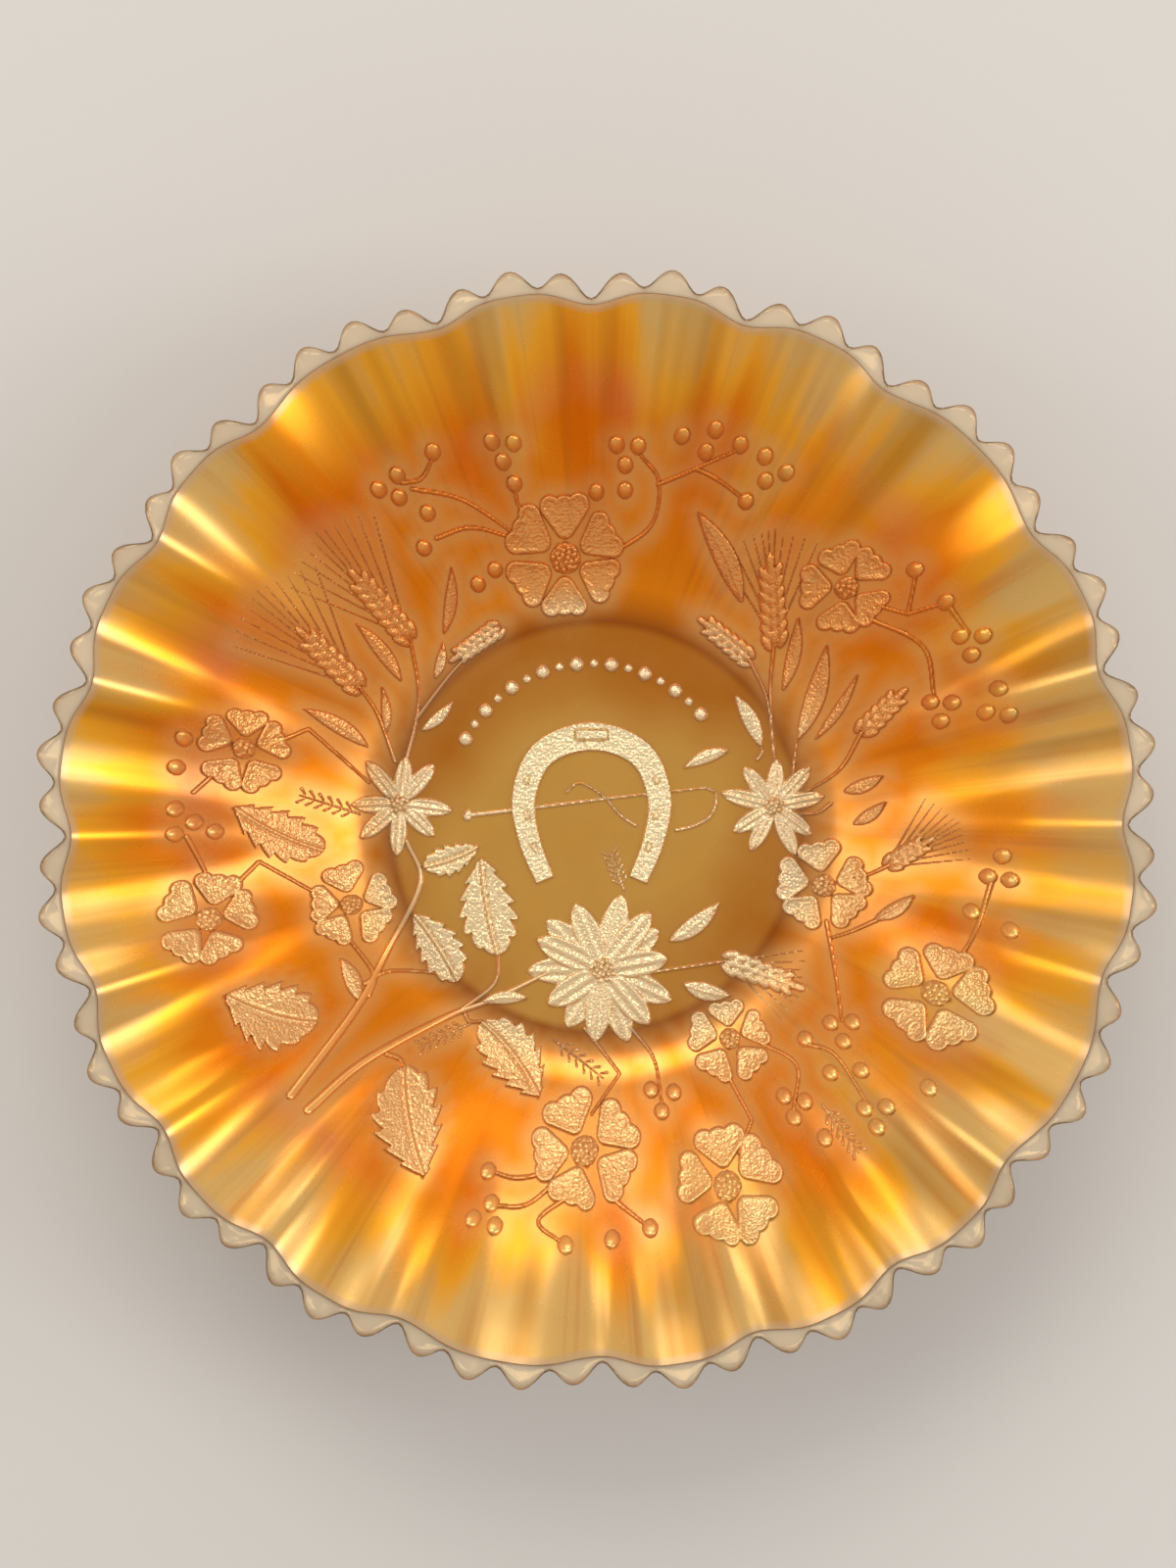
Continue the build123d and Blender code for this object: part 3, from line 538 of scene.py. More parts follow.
blossom = dict(  # shares of the flower's radius, and heights in millimetres
    boss=0.255, bossWide=0.97, bossTall=1.02, lean=5, uneven=0.05, spread=0.275, lobe=0.205, lobePower=0.6,
    root=0.47, rootWidth=0.17, middleRoot=0.15, height=0.95, edge=0.5, dish=0.42, veins=0.07, veinCount=5.0,
)
lobes = [(1, 1, "rootWidth", 1), (-1, 0.97, "rootWidth", 0.96), (0, 0.955, "middleRoot", 1.05)]


def blossomField(x, y, spot):
    cx, cy, radius, turn, petals = spot
    u, v = local(x, y, (cx, cy), turn)
    d, top = blank(x)
    for k in range(petals):
        lean = 360 * k / petals + blossom["lean"] * math.sin(3.1 * k + cx)
        size = radius * (1 + blossom["uneven"] * math.sin(5.3 * k + cy))
        a, b = local(u, v, (0, 0), lean)
        spread = blossom["spread"] * size * (5 / petals)
        lobe = blossom["lobe"] * size * (5 / petals) ** blossom["lobePower"]
        root, reach = blossom["root"] * size, size - lobe
        inside = np.maximum.reduce([
            cone(a, b, 0, root, side * spread, reach * far, blossom[width] * size, lobe * wide)
            for side, far, width, wide in lobes])
        rim = raised(inside, blossom["height"], blossom["edge"])
        dish = blossom["dish"] * ease(inside, 0.45, 0.8) * unit(0.3 + b / size)
        veins = blossom["veins"] * np.cos(a * blossom["veinCount"] / (0.35 + b / size))
        veins = veins * ease(inside, 0, 0.8) * unit(1 - b / size)
        height = np.where(inside > 0, rim - dish + veins + stipple(x, y, k) * ease(inside, 0.35, 0.5), rim)
        top = np.where(inside > d, np.maximum(height, np.where(d > 0, top, height)), top)
        d = np.maximum(d, inside)
    bossD, bossTop = beadedBoss(u * blossom["bossWide"], v * blossom["bossTall"], blossom["boss"] * radius)
    return np.maximum(d, bossD), np.maximum(top, bossTop)


daisy = dict(
    boss=0.20, root=0.10, lean=6, uneven=0.07, fullness=0.62, early=0.95, tip=0.8, keel=0.8,
    groove=0.16, groovePitch=0.34, single=[(1.0, 0.72)], double=[(1.0, 0.62), (0.96, 0.95)], many=12,
)


def daisyField(x, y, spot):
    cx, cy, radius, turn, rays, width = spot
    u, v = local(x, y, (cx, cy), turn)
    d, top = blank(x)
    layers = daisy["single"] if rays < daisy["many"] else daisy["double"]
    count = rays // len(layers)
    for layer, (share, height) in enumerate(layers):
        for k in range(count):
            lean = 360 * k / count + 180 / count * layer + daisy["lean"] * math.sin(2.7 * k + cx)
            size = radius * share * (1 + daisy["uneven"] * math.sin(4.1 * k + cy))
            a, b = local(u, v, (0, 0), lean)
            root = daisy["root"] * size
            s = unit((b - root) / ((1 - daisy["root"]) * size))
            half = 0.5 * width * np.sin(np.pi * s ** daisy["early"]) ** daisy["fullness"]
            inside = np.where((b > root) & (b < size), half, -relief["beyond"]) - np.abs(a)
            inside = np.minimum(inside, (size - b) * daisy["tip"])
            grooves = np.cos(2 * np.pi * a / (daisy["groovePitch"] * width)) * ease(inside, 0, 0.4)
            grooves = daisy["groove"] * grooves
            keel = raised(inside, height, daisy["keel"])
            top = np.maximum(top, np.where(inside > 0, keel + grooves, keel))
            d = np.maximum(d, inside)
    bossD, bossTop = beadedBoss(u, v, daisy["boss"] * radius)
    return np.maximum(d, bossD), np.maximum(top, bossTop)


def leafShape(u, v, length, half, tip, slant=1.0):  # distance inside an outline of that half width
    inside = np.where((v > 0) & (v < length), half, -relief["beyond"]) - np.abs(u)
    return np.minimum(inside * slant, np.minimum(v, length - v) + tip)


leaf = dict(
    teeth=6, stagger=0.4, saw=0.34, sawPower=0.85, sawMiddle=0.55, early=0.80, fullness=0.72, slant=0.9,
    tip=0.15, height=0.85, edge=0.5, sideVeins=6.5, veinSlope=1.1, vein=0.10, veinWidth=0.28, groove=0.28,
    grooveAt=0.62, grooveWidth=0.24, rib=0.42, ribWidth=0.42, dish=0.16, grain=1.15, lowest=0.05,
)


def leafField(x, y, spot):
    base, tip, width, bend = spot
    u, v, length = fromBase(x, y, base, tip)
    s = unit(v / length)
    u = u - bend * length * 4 * s * (1 - s)
    full = np.sin(np.pi * s ** leaf["early"]) ** leaf["fullness"]
    hook = 1 - np.mod(s * leaf["teeth"] + np.where(u > 0, 0.0, leaf["stagger"]), 1)
    saw = 1 + leaf["saw"] * (hook ** leaf["sawPower"] - leaf["sawMiddle"])
    inside = leafShape(u, v, length, 0.5 * width * full * saw, leaf["tip"], leaf["slant"])
    top = raised(inside, leaf["height"], leaf["edge"])
    pitch = length / leaf["sideVeins"]
    side = np.abs(np.mod((v - np.abs(u) * leaf["veinSlope"]) / pitch, 1) - 0.5) * pitch
    veins = -leaf["vein"] * unit(1 - side / leaf["veinWidth"])
    blade = ease(inside, 0.3, 0.4) * ease(np.abs(u), 0.6, 0.3)
    groove = -leaf["groove"] * unit(1 - np.abs(np.abs(u) - leaf["grooveAt"]) / leaf["grooveWidth"])
    rib = leaf["rib"] * unit(1 - (u / leaf["ribWidth"]) ** 2)
    body = top - leaf["dish"] * ease(inside, 0.5, 1.5) + (stipple(x, y, 3) * leaf["grain"] + veins) * blade
    return inside, np.where(inside > 0, np.maximum(body + groove + rib, leaf["lowest"]), top)


narrow = dict(
    bend=0.05, early=0.9, fullness=0.8, tip=0.1, height=0.75, edge=0.45, rib=0.22, ribWidth=0.32, grain=0.9,
)


def narrowLeafField(x, y, spot):
    base, tip, width = spot
    u, v, length = fromBase(x, y, base, tip)
    s = unit(v / length)
    u = u - narrow["bend"] * length * 4 * s * (1 - s)
    half = 0.5 * width * np.sin(np.pi * s ** narrow["early"]) ** narrow["fullness"]
    inside = leafShape(u, v, length, half, narrow["tip"])
    top = raised(inside, narrow["height"], narrow["edge"])
    rib = narrow["rib"] * unit(1 - (u / narrow["ribWidth"]) ** 2)
    body = top + rib + stipple(x, y, 5) * ease(inside, 0.2, 0.3) * narrow["grain"]
    return inside, np.where(inside > 0, body, top)


ear = dict(  # shares of the ear's width, and heights in millimetres
    stalk=(0.36, 0.3), stalkHeight=0.7, pairPitch=0.36, fewest=4, firstPair=0.45, taper=0.25, side=0.27,
    lean=26, ahead=0.18, last=0.15, askew=0.04,
    grainWide=0.155, grainLong=0.33, grainHeight=1.30, grainEdge=0.20, seam=0.18, seamWidth=0.16,
    awns=11, awnLean=5.5, awnFoot=0.075, awnWidth=(0.20, 0.08), awnHeight=0.42, awnEdge=0.2,
)


def wheatField(x, y, spot):
    base, tip, width, awns = spot
    u, v, length = fromBase(x, y, base, tip)
    d = cone(u, v, 0, 0, 0, length, *ear["stalk"])
    top = raised(d, ear["stalkHeight"])
    pairs = max(ear["fewest"], round(length / (ear["pairPitch"] * width)))
    grains = [(0, length + ear["last"] * width, 0)]
    for i in range(pairs):
        along = length * (i + ear["firstPair"]) / pairs
        out = ear["side"] * width * (1 - ear["taper"] * i / pairs)
        grains += [(side * out, along + ear["askew"] * side * width, side * ear["lean"]) for side in (-1, 1)]
        grains.append((0, along + ear["ahead"] * width, 0))
    for gx, gy, lean in grains:
        a, b = local(u, v, (gx, gy), lean)
        reach = np.hypot(a / (ear["grainWide"] * width), b / (ear["grainLong"] * width))
        grain = ear["grainHeight"] * np.sqrt(unit(1 - reach ** 2))
        grain = grain - ear["seam"] * unit(1 - np.abs(a) / ear["seamWidth"])
        top = np.maximum(top, np.where(reach < 1, grain, -relief["sunk"]))
        d = np.maximum(d, (1 - reach) * ear["grainEdge"] * width)
    middle = ear["awns"] // 2
    for i in (range(-middle, middle + 1) if awns else ()):
        lean = math.radians(i * ear["awnLean"])
        fromX, fromY = i * ear["awnFoot"] * width, length * (0.35 + 0.65 * (1 - abs(i) / middle))
        reach = awns + (length - fromY) * 0.8
        toX, toY = fromX + reach * math.sin(lean), fromY + reach * math.cos(lean)
        awn = cone(u, v, fromX, fromY, toX, toY, *ear["awnWidth"])
        top = np.maximum(top, raised(awn, ear["awnHeight"], ear["awnEdge"]))
        d = np.maximum(d, awn)
    return d, top


berry = dict(radius=1.62, height=1.35, heightFor=1.55)


def berryField(x, y, spot):
    cx, cy, radius = spot
    far = np.hypot(x - cx, y - cy)
    dome = berry["height"] * (radius / berry["heightFor"]) * np.sqrt(unit(1 - (far / radius) ** 2))
    return radius - far, np.where(far < radius, dome, raised(radius - far, 1))


stem = dict(lowest=0.55, growth=0.5, highest=0.95, edge=0.25)


def stemField(x, y, spot):
    points, start, end = spot
    d = lineField(x, y, points, [start + (end - start) * i / (len(points) - 1) for i in range(len(points))])
    height = min(stem["highest"], stem["lowest"] + stem["growth"] * start)
    return d, raised(d, height, max(start, stem["edge"]))


sprig = dict(twig=(0.30, 0.16), bud=(0.16, 0.30), height=0.5, edge=0.25, pairs=6, first=0.12, pitch=0.15)


def sprigField(x, y, spot):
    u, v, length = fromBase(x, y, *spot)
    d = cone(u, v, 0, 0, 0, length, *sprig["twig"])
    top = raised(d, sprig["height"], sprig["edge"])
    for i in range(sprig["pairs"]):
        foot = length * (sprig["first"] + sprig["pitch"] * i)
        for side in (-1, 1):
            bud = cone(u, v, side * 0.5, foot + 0.6, side * 1.5, foot + 1.7, *sprig["bud"])
            top = np.maximum(top, raised(bud, sprig["height"], sprig["edge"]))
            d = np.maximum(d, bud)
    return d, top


def keptFaces(near):  # faces with four corners near the motif, none touching at a corner only
    kept = near[:-1, :-1] & near[1:, :-1] & near[:-1, 1:] & near[1:, 1:]
    touching = True
    while touching:
        a, b, c, e = kept[:-1, :-1], kept[:-1, 1:], kept[1:, :-1], kept[1:, 1:]
        rows, columns = np.nonzero((a & e & ~b & ~c) | (b & c & ~a & ~e))
        kept[rows, columns] = kept[rows, columns + 1] = True
        touching = len(rows) > 0
    return kept


def makeSheet(field, spot, corners, margin, pitch):  # one motif: a shaped grid, closed below
    x0, y0 = corners.min(axis=0) - margin
    x1, y1 = corners.max(axis=0) + margin
    nx, ny = max(3, int((x1 - x0) / pitch)), max(3, int((y1 - y0) / pitch))
    startClean()
    bpy.ops.mesh.primitive_grid_add(x_subdivisions=nx, y_subdivisions=ny, size=2)
    sheet = bpy.context.object
    points = readPoints(sheet.data)
    x = x0 + (points[:, 0] + 1) / 2 * (x1 - x0)
    y = y0 + (points[:, 1] + 1) / 2 * (y1 - y0)
    d, height = field(x, y, spot)
    sheet.data.vertices.foreach_set("co", np.stack([x, y, height], axis=1).ravel())
    # painted shade: a dark line along each motif's edge, read by its material
    line = np.abs(d - relief["outlineShadeMiddle"]) / relief["outlineShadeWidth"]
    writeMark(sheet.data, "outline", unit(1 - line))
    kept = keptFaces((d >= -relief["sunk"] * relief["trim"]).reshape(ny + 1, nx + 1))
    sheet.data.polygons.foreach_set("select", ~kept.ravel())
    bpy.context.tool_settings.mesh_select_mode = (False, False, True)
    setMode("EDIT")
    bpy.ops.mesh.delete(type="FACE")
    bpy.ops.mesh.select_all(action="SELECT")
    bpy.ops.mesh.extrude_region_move(TRANSFORM_OT_translate={"value": (0, 0, -relief["drop"])})
    setMode("OBJECT")
    points = readPoints(sheet.data)
    low = points[:, 2] < -relief["drop"] / 2
    points[:, 2] = np.where(low, -relief["under"], points[:, 2]) + insideAt(points[:, 0], points[:, 1])
    sheet.data.vertices.foreach_set("co", (points * mm).ravel())
    return sheet


def makeRelief(name, slot, field, spots, reach):
    pitch = relief["flowerPitch"] if slot == "flower_glass" else relief["pitch"]
    sheets = [makeSheet(field, spot, *reach(spot), pitch) for spot in spots]
    startClean()
    for sheet in sheets:
        sheet.select_set(True)
    bpy.context.view_layer.objects.active = sheets[0]
    if len(sheets) > 1:
        bpy.ops.object.join()
    piece = bpy.context.object
    piece.name = piece.data.name = name
    setMode("EDIT")
    bpy.ops.mesh.select_all(action="SELECT")
    bpy.ops.mesh.normals_make_consistent(inside=False)
    setMode("OBJECT")
    bpy.ops.object.shade_smooth_by_angle(angle=math.radians(relief["sharpEdge"]))
    piece.data.materials.clear()
    piece.data.materials.append(glass[slot])
    keepPiece(piece, slot, name)


# The reach of a motif is two or more corners of its box and a margin round them.
def roundReach(spot):
    cx, cy, radius = spot[:3]
    return np.array([[cx - radius, cy - radius], [cx + radius, cy + radius]]), 1.2


def leafReach(spot):
    base, tip, width = spot[:3]
    return np.array([base, tip]), width * 0.75 + 1.0


def sprigReach(spot):
    return np.array(spot), 2.6


def wheatReach(spot):
    base, tip, width, awns = spot
    base, tip = np.array(base), np.array(tip)
    far = (awns + 0.6 * width + 1) / math.dist(base, tip)
    return np.array([base, tip + (tip - base) * far]), width * 0.8 + awns * 0.35


def lineReach(spot):
    return np.array(spot[0]), spot[1] + 0.8


motifs = []  # name, slot, field, spots and reach of each raised motif


def addAll(table, slot, field, reach):
    for name, spots in table.items():
        spots = spots if isinstance(spots, list) else [spots]
        motifs.append((name, slot, field, spots, reach))


blossoms = {  # x, y, radius, turn and petals
    "blossom_top": (-6.5, 57, 12.6, 0, 6), "blossom_upper_right": (52, 50, 9.2, -20, 5),
    "blossom_right_inner": (48.5, -12.5, 9.8, -3, 5), "blossom_right_outer": (70, -34, 10.4, 15, 5),
    "blossom_lower_right": (28.5, -45, 8.6, -6, 5), "blossom_bottom_right": (27, -73.5, 10.9, -14, 5),
    "blossom_bottom": (-2.5, -67.5, 11.4, -20, 5), "blossom_left_inner": (-52, -16.5, 8.8, -10, 5),
    "blossom_left_outer": (-79.5, -18.5, 9.4, 8, 5), "blossom_upper_left": (-73, 16.5, 8.6, 5, 5),
}
addAll(blossoms, "flower_glass", blossomField, roundReach)

daisies = {  # x, y, radius, turn, rays and the width of a ray
    "daisy_left": (-42, 5, 11, 2, 8, 4), "daisy_right": (38, 4.5, 11, 2, 9, 3.9),
    "daisy_base": (1.5, -30.5, 15.8, 8, 14, 6.3),
}
addAll(daisies, "flower_glass", daisyField, roundReach)

broadLeaves = {  # base, tip, width and bend
    "leaf_upright": ((-21, -27.5), (-24.5, -6.5), 11.5, -0.03),
    "leaf_heel": ((-29.5, -33), (-39, -18.5), 9.2, 0.03),
    "leaf_small": ((-37, -8.5), (-25, -4), 6.4, 0.05),
    "leaf_left": ((-57.5, -5), (-75, 4.5), 9.6, -0.05),
    "leaf_left_low": ((-58, -40.5), (-76, -34), 12.6, -0.06),
    "leaf_low": ((-40.5, -50), (-35.5, -71.5), 12.8, 0.05),
    "leaf_base": ((-24.5, -41.5), (-12, -57), 11.2, -0.05),
}
addAll(broadLeaves, "leaf_glass", leafField, leafReach)

wheat = {  # base, tip, width and awn length
    "wheat_left_inner": ((-39.5, 40), (-49.5, 51.5), 6.2, 12),
    "wheat_left_outer": ((-50, 29.5), (-60, 39.5), 6.2, 13),
    "wheat_left_small": ((-20.5, 42.8), (-29.5, 36.5), 5.2, 0),
    "wheat_right_tall": ((38, 38.5), (36.5, 54.5), 6.2, 8),
    "wheat_right_small": ((33, 35.5), (23.5, 43.2), 5.4, 0),
    "wheat_right_outer": ((56, 20), (63, 27.5), 5.4, 0),
    "wheat_right_low": ((61.5, -8), (68.5, -3.2), 4.8, 8),
    "wheat_base": ((27.5, -28.6), (41.5, -33.4), 6.4, 3.5),
}
addAll(wheat, "leaf_glass", wheatField, wheatReach)

narrowLeaves = {  # base, tip and width
    "narrow_leaves_left": [
        ((-32.5, 41), (-30.5, 55), 2.6), ((-34.5, 31.5), (-32.5, 39.5), 2.3),
        ((-41.5, 31), (-50.5, 43), 3.2), ((-48.5, 17), (-61.5, 25), 3.4),
        ((-45, 19.5), (-45.5, 30), 2.1), ((-37.5, 20.5), (-30.5, 27), 2.6),
        ((-50, -36.5), (-54, -27.5), 3.4)],
    "narrow_leaves_right": [
        ((31, 47.5), (21, 66), 4.6), ((39.8, 29), (42.5, 44.5), 3), ((43, 18.5), (48.5, 38.5), 4.2),
        ((46.5, 18.5), (55, 32.5), 2.2), ((52.5, 7.5), (60.5, 11), 3), ((54.5, 0.5), (61, 5.5), 2.7),
        ((58.5, -19.5), (66.5, -14), 3), ((35.3, 17), (29.5, 28.5), 3.6),
        ((28.5, 16.5), (18.5, 12.5), 3)],
    "narrow_leaves_base": [
        ((15.5, -24.5), (26.5, -16), 4), ((18.5, -33.5), (29, -36), 4),
        ((-14.5, -36.5), (-25, -37.5), 3)],
}
addAll(narrowLeaves, "leaf_glass", narrowLeafField, leafReach)

berries = {
    "berries_top_left": [
     (-33.5, 77), (-21.4, 79.2), (-17, 79.2), (-19.2, 75.6), (-40.8, 72.4), (-44.6, 69.5),
     (-40.6, 68.2), (-35, 65.4), (-36, 58.5), (-17, 71.5), (-25, 51.5), (-21.4, 54.5)],
    "berries_top_right": [
     (4.2, 79), (8.6, 78.8), (6, 75.2), (6, 70.4), (0, 70), (17.5, 80.5), (24.2, 81.2),
     (22.4, 77.2), (29.5, 78.5), (34.5, 76.2), (38.8, 73), (34.8, 71.6), (31, 67.8)],
    "berries_right": [
     (65, 53), (71, 46.2), (74.4, 39.4), (78.6, 39.4), (76.6, 35.6), (69.2, 26.2),
     (73.2, 26), (71.2, 22.2), (81.5, 28.6), (79.4, 23.8), (83.6, 23.2)],
    "berries_right_low": [(83, -5.6), (80.4, -9.8), (84.4, -10.4), (77.2, -17), (84, -20.5)],
    "berries_lower_right": [
     (49.2, -41), (53.6, -40.6), (51.6, -44.6), (44, -44.5), (48.8, -51), (54.8, -50.2),
     (55.2, -57.6), (59.4, -57), (57.4, -61), (67.4, -52.5)],
    "berries_base": [(39.2, -56), (43.4, -56.8), (41, -60), (47, -63.5), (11.6, -55.6),
     (16.4, -56), (13.8, -59.8)],
    "berries_bottom": [
     (11, -81.8), (3.2, -83.6), (-6.4, -84.8), (-22.4, -71), (-25.2, -79.6), (-21.6, -77),
     (-20.8, -81.2)],
    "berries_left": [(-84, 18.4), (-85.6, 12.6), (-85.8, 4.2), (-85.6, -1), (-82.2, 1.4),
     (-78.4, -0.6)],
}
for name, spots in berries.items():
    spots = [(*spot, berry["radius"]) for spot in spots]
    motifs.append((name, "berry_glass", berryField, spots, roundReach))

stems = {  # curved lines, kinked lines, and the half width at each end
    "stalk_left": ([[(-62.5, -54.5), (-50.5, -38), (-44.6, -26.5), (-37.6, -12),
     (-40.5, -3)]], [], 1, 0.55),
    "stalk_base": ([[(-59, -57.5), (-48.5, -48.8), (-32, -40.5), (-22.5, -37),
     (-10, -31)]], [], 1.05, 0.5),
    "stems_left": (
     [[(-40.8, 13.5), (-37.9, 27), (-39.5, 40)], [(-43, 14), (-46.5, 24), (-50, 29.5)],
      [(-38.6, 23), (-30, 34), (-20.5, 42.8)], [(-49, -33), (-43.5, -30.6), (-30, -31.5)],
      [(-29.5, -39.5), (-21.8, -33.5), (-21, -27.5)], [(-28, -40), (-27, -41.5),
      (-24.5, -41.5)],
      [(-44, -47.5), (-41.5, -48.5), (-40.5, -50)], [(-48, -35.5), (-47.2, -31),
      (-52.5, -23.5)]],
     [[(-69, 16.8), (-60.5, 20.8), (-48.5, 9.5)], [(-82.5, 7.5), (-76, 14)],
      [(-75.5, -12.5), (-70.3, -7), (-56.5, -15.5)], [(-83.5, -1.5), (-79.5, -11)]], 0.48, 0.34),
    "stems_top": (
     [[(-38, 70), (-27.5, 68), (-14.5, 60)], [(-33.5, 60.5), (-26, 62.8), (-16, 60.5)],
      [(3.5, 58), (11.5, 63.5), (13, 72), (9.2, 77)], [(-40, 71), (-36, 72),
      (-33.5, 76)],
      [(12.8, 71.5), (20.5, 74.2), (29, 77.6)], [(20.5, 74.2), (25.5, 71.8), (30.5, 68.3)],
      [(-17, 71.5), (-16, 67), (-11, 63)]],
     [], 0.42, 0.30),
    "stems_right": (
     [[(37.8, 39), (37.2, 28), (38.2, 13.5)], [(32.8, 35.6), (36.6, 27), (38, 15)],
      [(56, 20), (51.5, 12), (43, 6.5)], [(57, 43.5), (67.5, 37.5), (70, 27)],
      [(42, 6.5), (42.2, 13), (43, 19)], [(49, -20), (50.5, -30), (51.5, -40.5)],
      [(59, -19.5), (54, -22), (50, -23.5)], [(81, -11), (78.5, -19), (74, -28)],
      [(61.5, -8), (57.5, -10), (53, -11)], [(44.5, -45.5), (50, -47.5), (56, -57)],
      [(34.5, 14.5), (35.5, 16), (35.3, 17)], [(50, 5), (47, 3), (42, 3)]],
     [[(57.5, 46.5), (64, 44.2), (65.2, 52)], [(64, 44.2), (71, 46)], [(72, 45),
     (76, 40)]], 0.45, 0.30),
    "stems_base": (
     [[(7.5, -43), (12.3, -49.5), (13.8, -58)], [(34.5, -45.5), (42, -49.8), (41, -58.5)],
      [(12, -31), (22, -29.5), (28, -28.6)], [(1.5, -75), (7, -79), (10.5, -81.5)],
      [(-5, -75.5), (-12, -80.5), (-7, -84.5)], [(-9.5, -71.5), (-16.5, -72.5), (-22, -71)],
      [(-8, -73), (-14.5, -77.5), (-21.5, -77.5)]],
     [[(-2.5, -43), (5, -52.5), (-1, -60.5)], [(27, -51), (32.5, -61),
     (29.5, -67.5)]], 0.42, 0.30),
}
for name, (curved, kinked, start, end) in stems.items():
    spots = [(smoothLine(line), start, end) for line in curved] + [(line, start, end) for line in kinked]
    motifs.append((name, "stem_glass", stemField, spots, lineReach))

sprigs = [  # base and tip
    ((-50.5, 2.8), (-62.5, 6.8)), ((-27, -42), (-37.5, -46.5)), ((-9, -45.5), (1.5, -53.5)),
    ((6, -13.5), (3, -5.5)), ((47, -57.5), (53.5, -66)),
]
addAll({"sprigs": sprigs}, "leaf_glass", sprigField, sprigReach)

shoe = dict(
    centre=(-1.0, 5.5), height=0.95, edge=0.3, smoothing=7, heelLine=-12,
    middle=[(-9.9, -16.9), (-13.2, -8.6), (-14.5, 0.9), (-10.4, 10.2), (0, 13.9), (10.4, 10.2), (14.5, 0.9),
            (13.2, -8.6), (9.9, -16.9)],
    half=[2.1, 2.35, 2.6, 2.9, 3.1, 2.9, 2.6, 2.35, 2.1],
    grain=1.6, sink=0.22, frame=0.35, frameFade=0.3,
    clip=(3.4, 1.05), clipPlace=14.2, clipHeight=1.45, clipEdge=0.25, clipLowest=0.55,
    nails=[(13.9, 4.5, 10), (13.8, -3.0, -8), (12.2, -10.0, -20)], nail=(0.75, 1.15), nailDepth=0.62,
    nailHead=0.5,
)


def shoeField(x, y, spot):
    u, v = x - shoe["centre"][0], y - shoe["centre"][1]
    points = smoothLine(shoe["middle"], shoe["smoothing"])
    widths = np.interp(np.linspace(0, 1, len(points)), np.linspace(0, 1, len(shoe["half"])), shoe["half"])
    d = lineField(u, v, points, widths)
    toe, heelCut = np.array(points[0]), np.array(points[3])
    for side in (-1, 1):  # square ends
        start = np.array([abs(toe[0]) * side, toe[1]])
        inward = np.array([abs(heelCut[0]) * side, heelCut[1]]) - start
        inward = inward / np.hypot(*inward)
        cut = (u - start[0]) * inward[0] + (v - start[1]) * inward[1]
        d = np.where((u * side > 0) & (v < shoe["heelLine"]), np.minimum(d, cut), d)
    inner = unit((d - shoe["frame"]) / shoe["frameFade"])
    rough = (stipple(x, y, 9) * shoe["grain"] - shoe["sink"]) * inner
    height = raised(d, shoe["height"], shoe["edge"]) + rough
    clip = np.minimum(shoe["clip"][0] - np.abs(u), shoe["clip"][1] - np.abs(v - shoe["clipPlace"]))
    clipTop = np.maximum(raised(clip, shoe["clipHeight"], shoe["clipEdge"]), shoe["clipLowest"])
    height = np.where(clip > -shoe["clipEdge"], clipTop, height)
    for nx, ny, lean in shoe["nails"]:
        for side in (-1, 1):
            a, b = local(u, v, (nx * side, ny), -lean * side)
            hole = np.minimum(shoe["nail"][0] - np.abs(a), shoe["nail"][1] - np.abs(b))
            head = shoe["nailDepth"] + shoe["nailHead"] * unit((hole - 0.25) / 0.2)
            height = np.where(hole > 0, head, height)
    return d, np.where(d > 0, height, raised(d, 1, 0.3))


def shoeReach(spot):
    return np.array(spot), 1.75


shoeBox = ((-20.0, -14.0), (18.0, 24.0))
addAll({"horseshoe": [shoeBox]}, "emblem_glass", shoeField, shoeReach)

crop = dict(  # each with its line and the half width at each end
    stock=([(-27.5, 2.5), (-12, 4.3), (5, 6.4), (23.5, 8.4)], 0.55, 0.22),
    knob=([(-27.6, 2.2), (-27.3, 3.0)], 1.0, 0.9),
    lash=([(23.0, 8.5), (25.7, 7.0), (24.6, 2.6), (21.0, 0.3), (17.0, -0.7)], 0.26, 0.36),
    loop=([(-6.5, 7.3), (-3.5, 9.4), (1.5, 6.6), (5.0, 2.7), (8.5, 0.3)], 0.22, 0.34),
)
cropPlaces = [(smoothLine(points), start, end) for points, start, end in crop.values()]
addAll({"riding_crop": cropPlaces}, "emblem_glass", stemField, lineReach)

band = dict(centre=(-1.0, 4.5), radius=30.5, clocks=[-62 + 7 * i for i in range(17)], sizes=(1.55, 0.95))
beads = []
for i, clock in enumerate(band["clocks"]):
    angle = math.radians(clock)
    beads.append((band["centre"][0] + band["radius"] * math.sin(angle),
                  band["centre"][1] + band["radius"] * math.cos(angle), band["sizes"][i % 2]))
addAll({"bead_band": beads}, "emblem_glass", berryField, roundReach)


# The body: one closed skin, from the middle of the well over the teeth and back under the foot.
body = dict(
    around=11, wellSteps=7, wallSteps=38, toothSteps=7, toothBackSteps=6, backSteps=30, underSteps=6,
    innerRipple=0.10, bead=0.08, beadStart=0.955, ledge=0.30, ledgeDrop=0.10, ledgeRise=0.2,
    toothDome=0.15, dome=(0.35, 0.65), nub=0.60, nubAt=0.78, nubWidth=0.16, tip=0.15, tipRound=0.42,
    backReach=0.995, ribFullness=0.8, footTop=2.2, recess=(2.6, 3.0, 0.4), bends=(0.5, 1.05, math.pi / 2),
    weld=0.000002, sharpEdge=60,
)


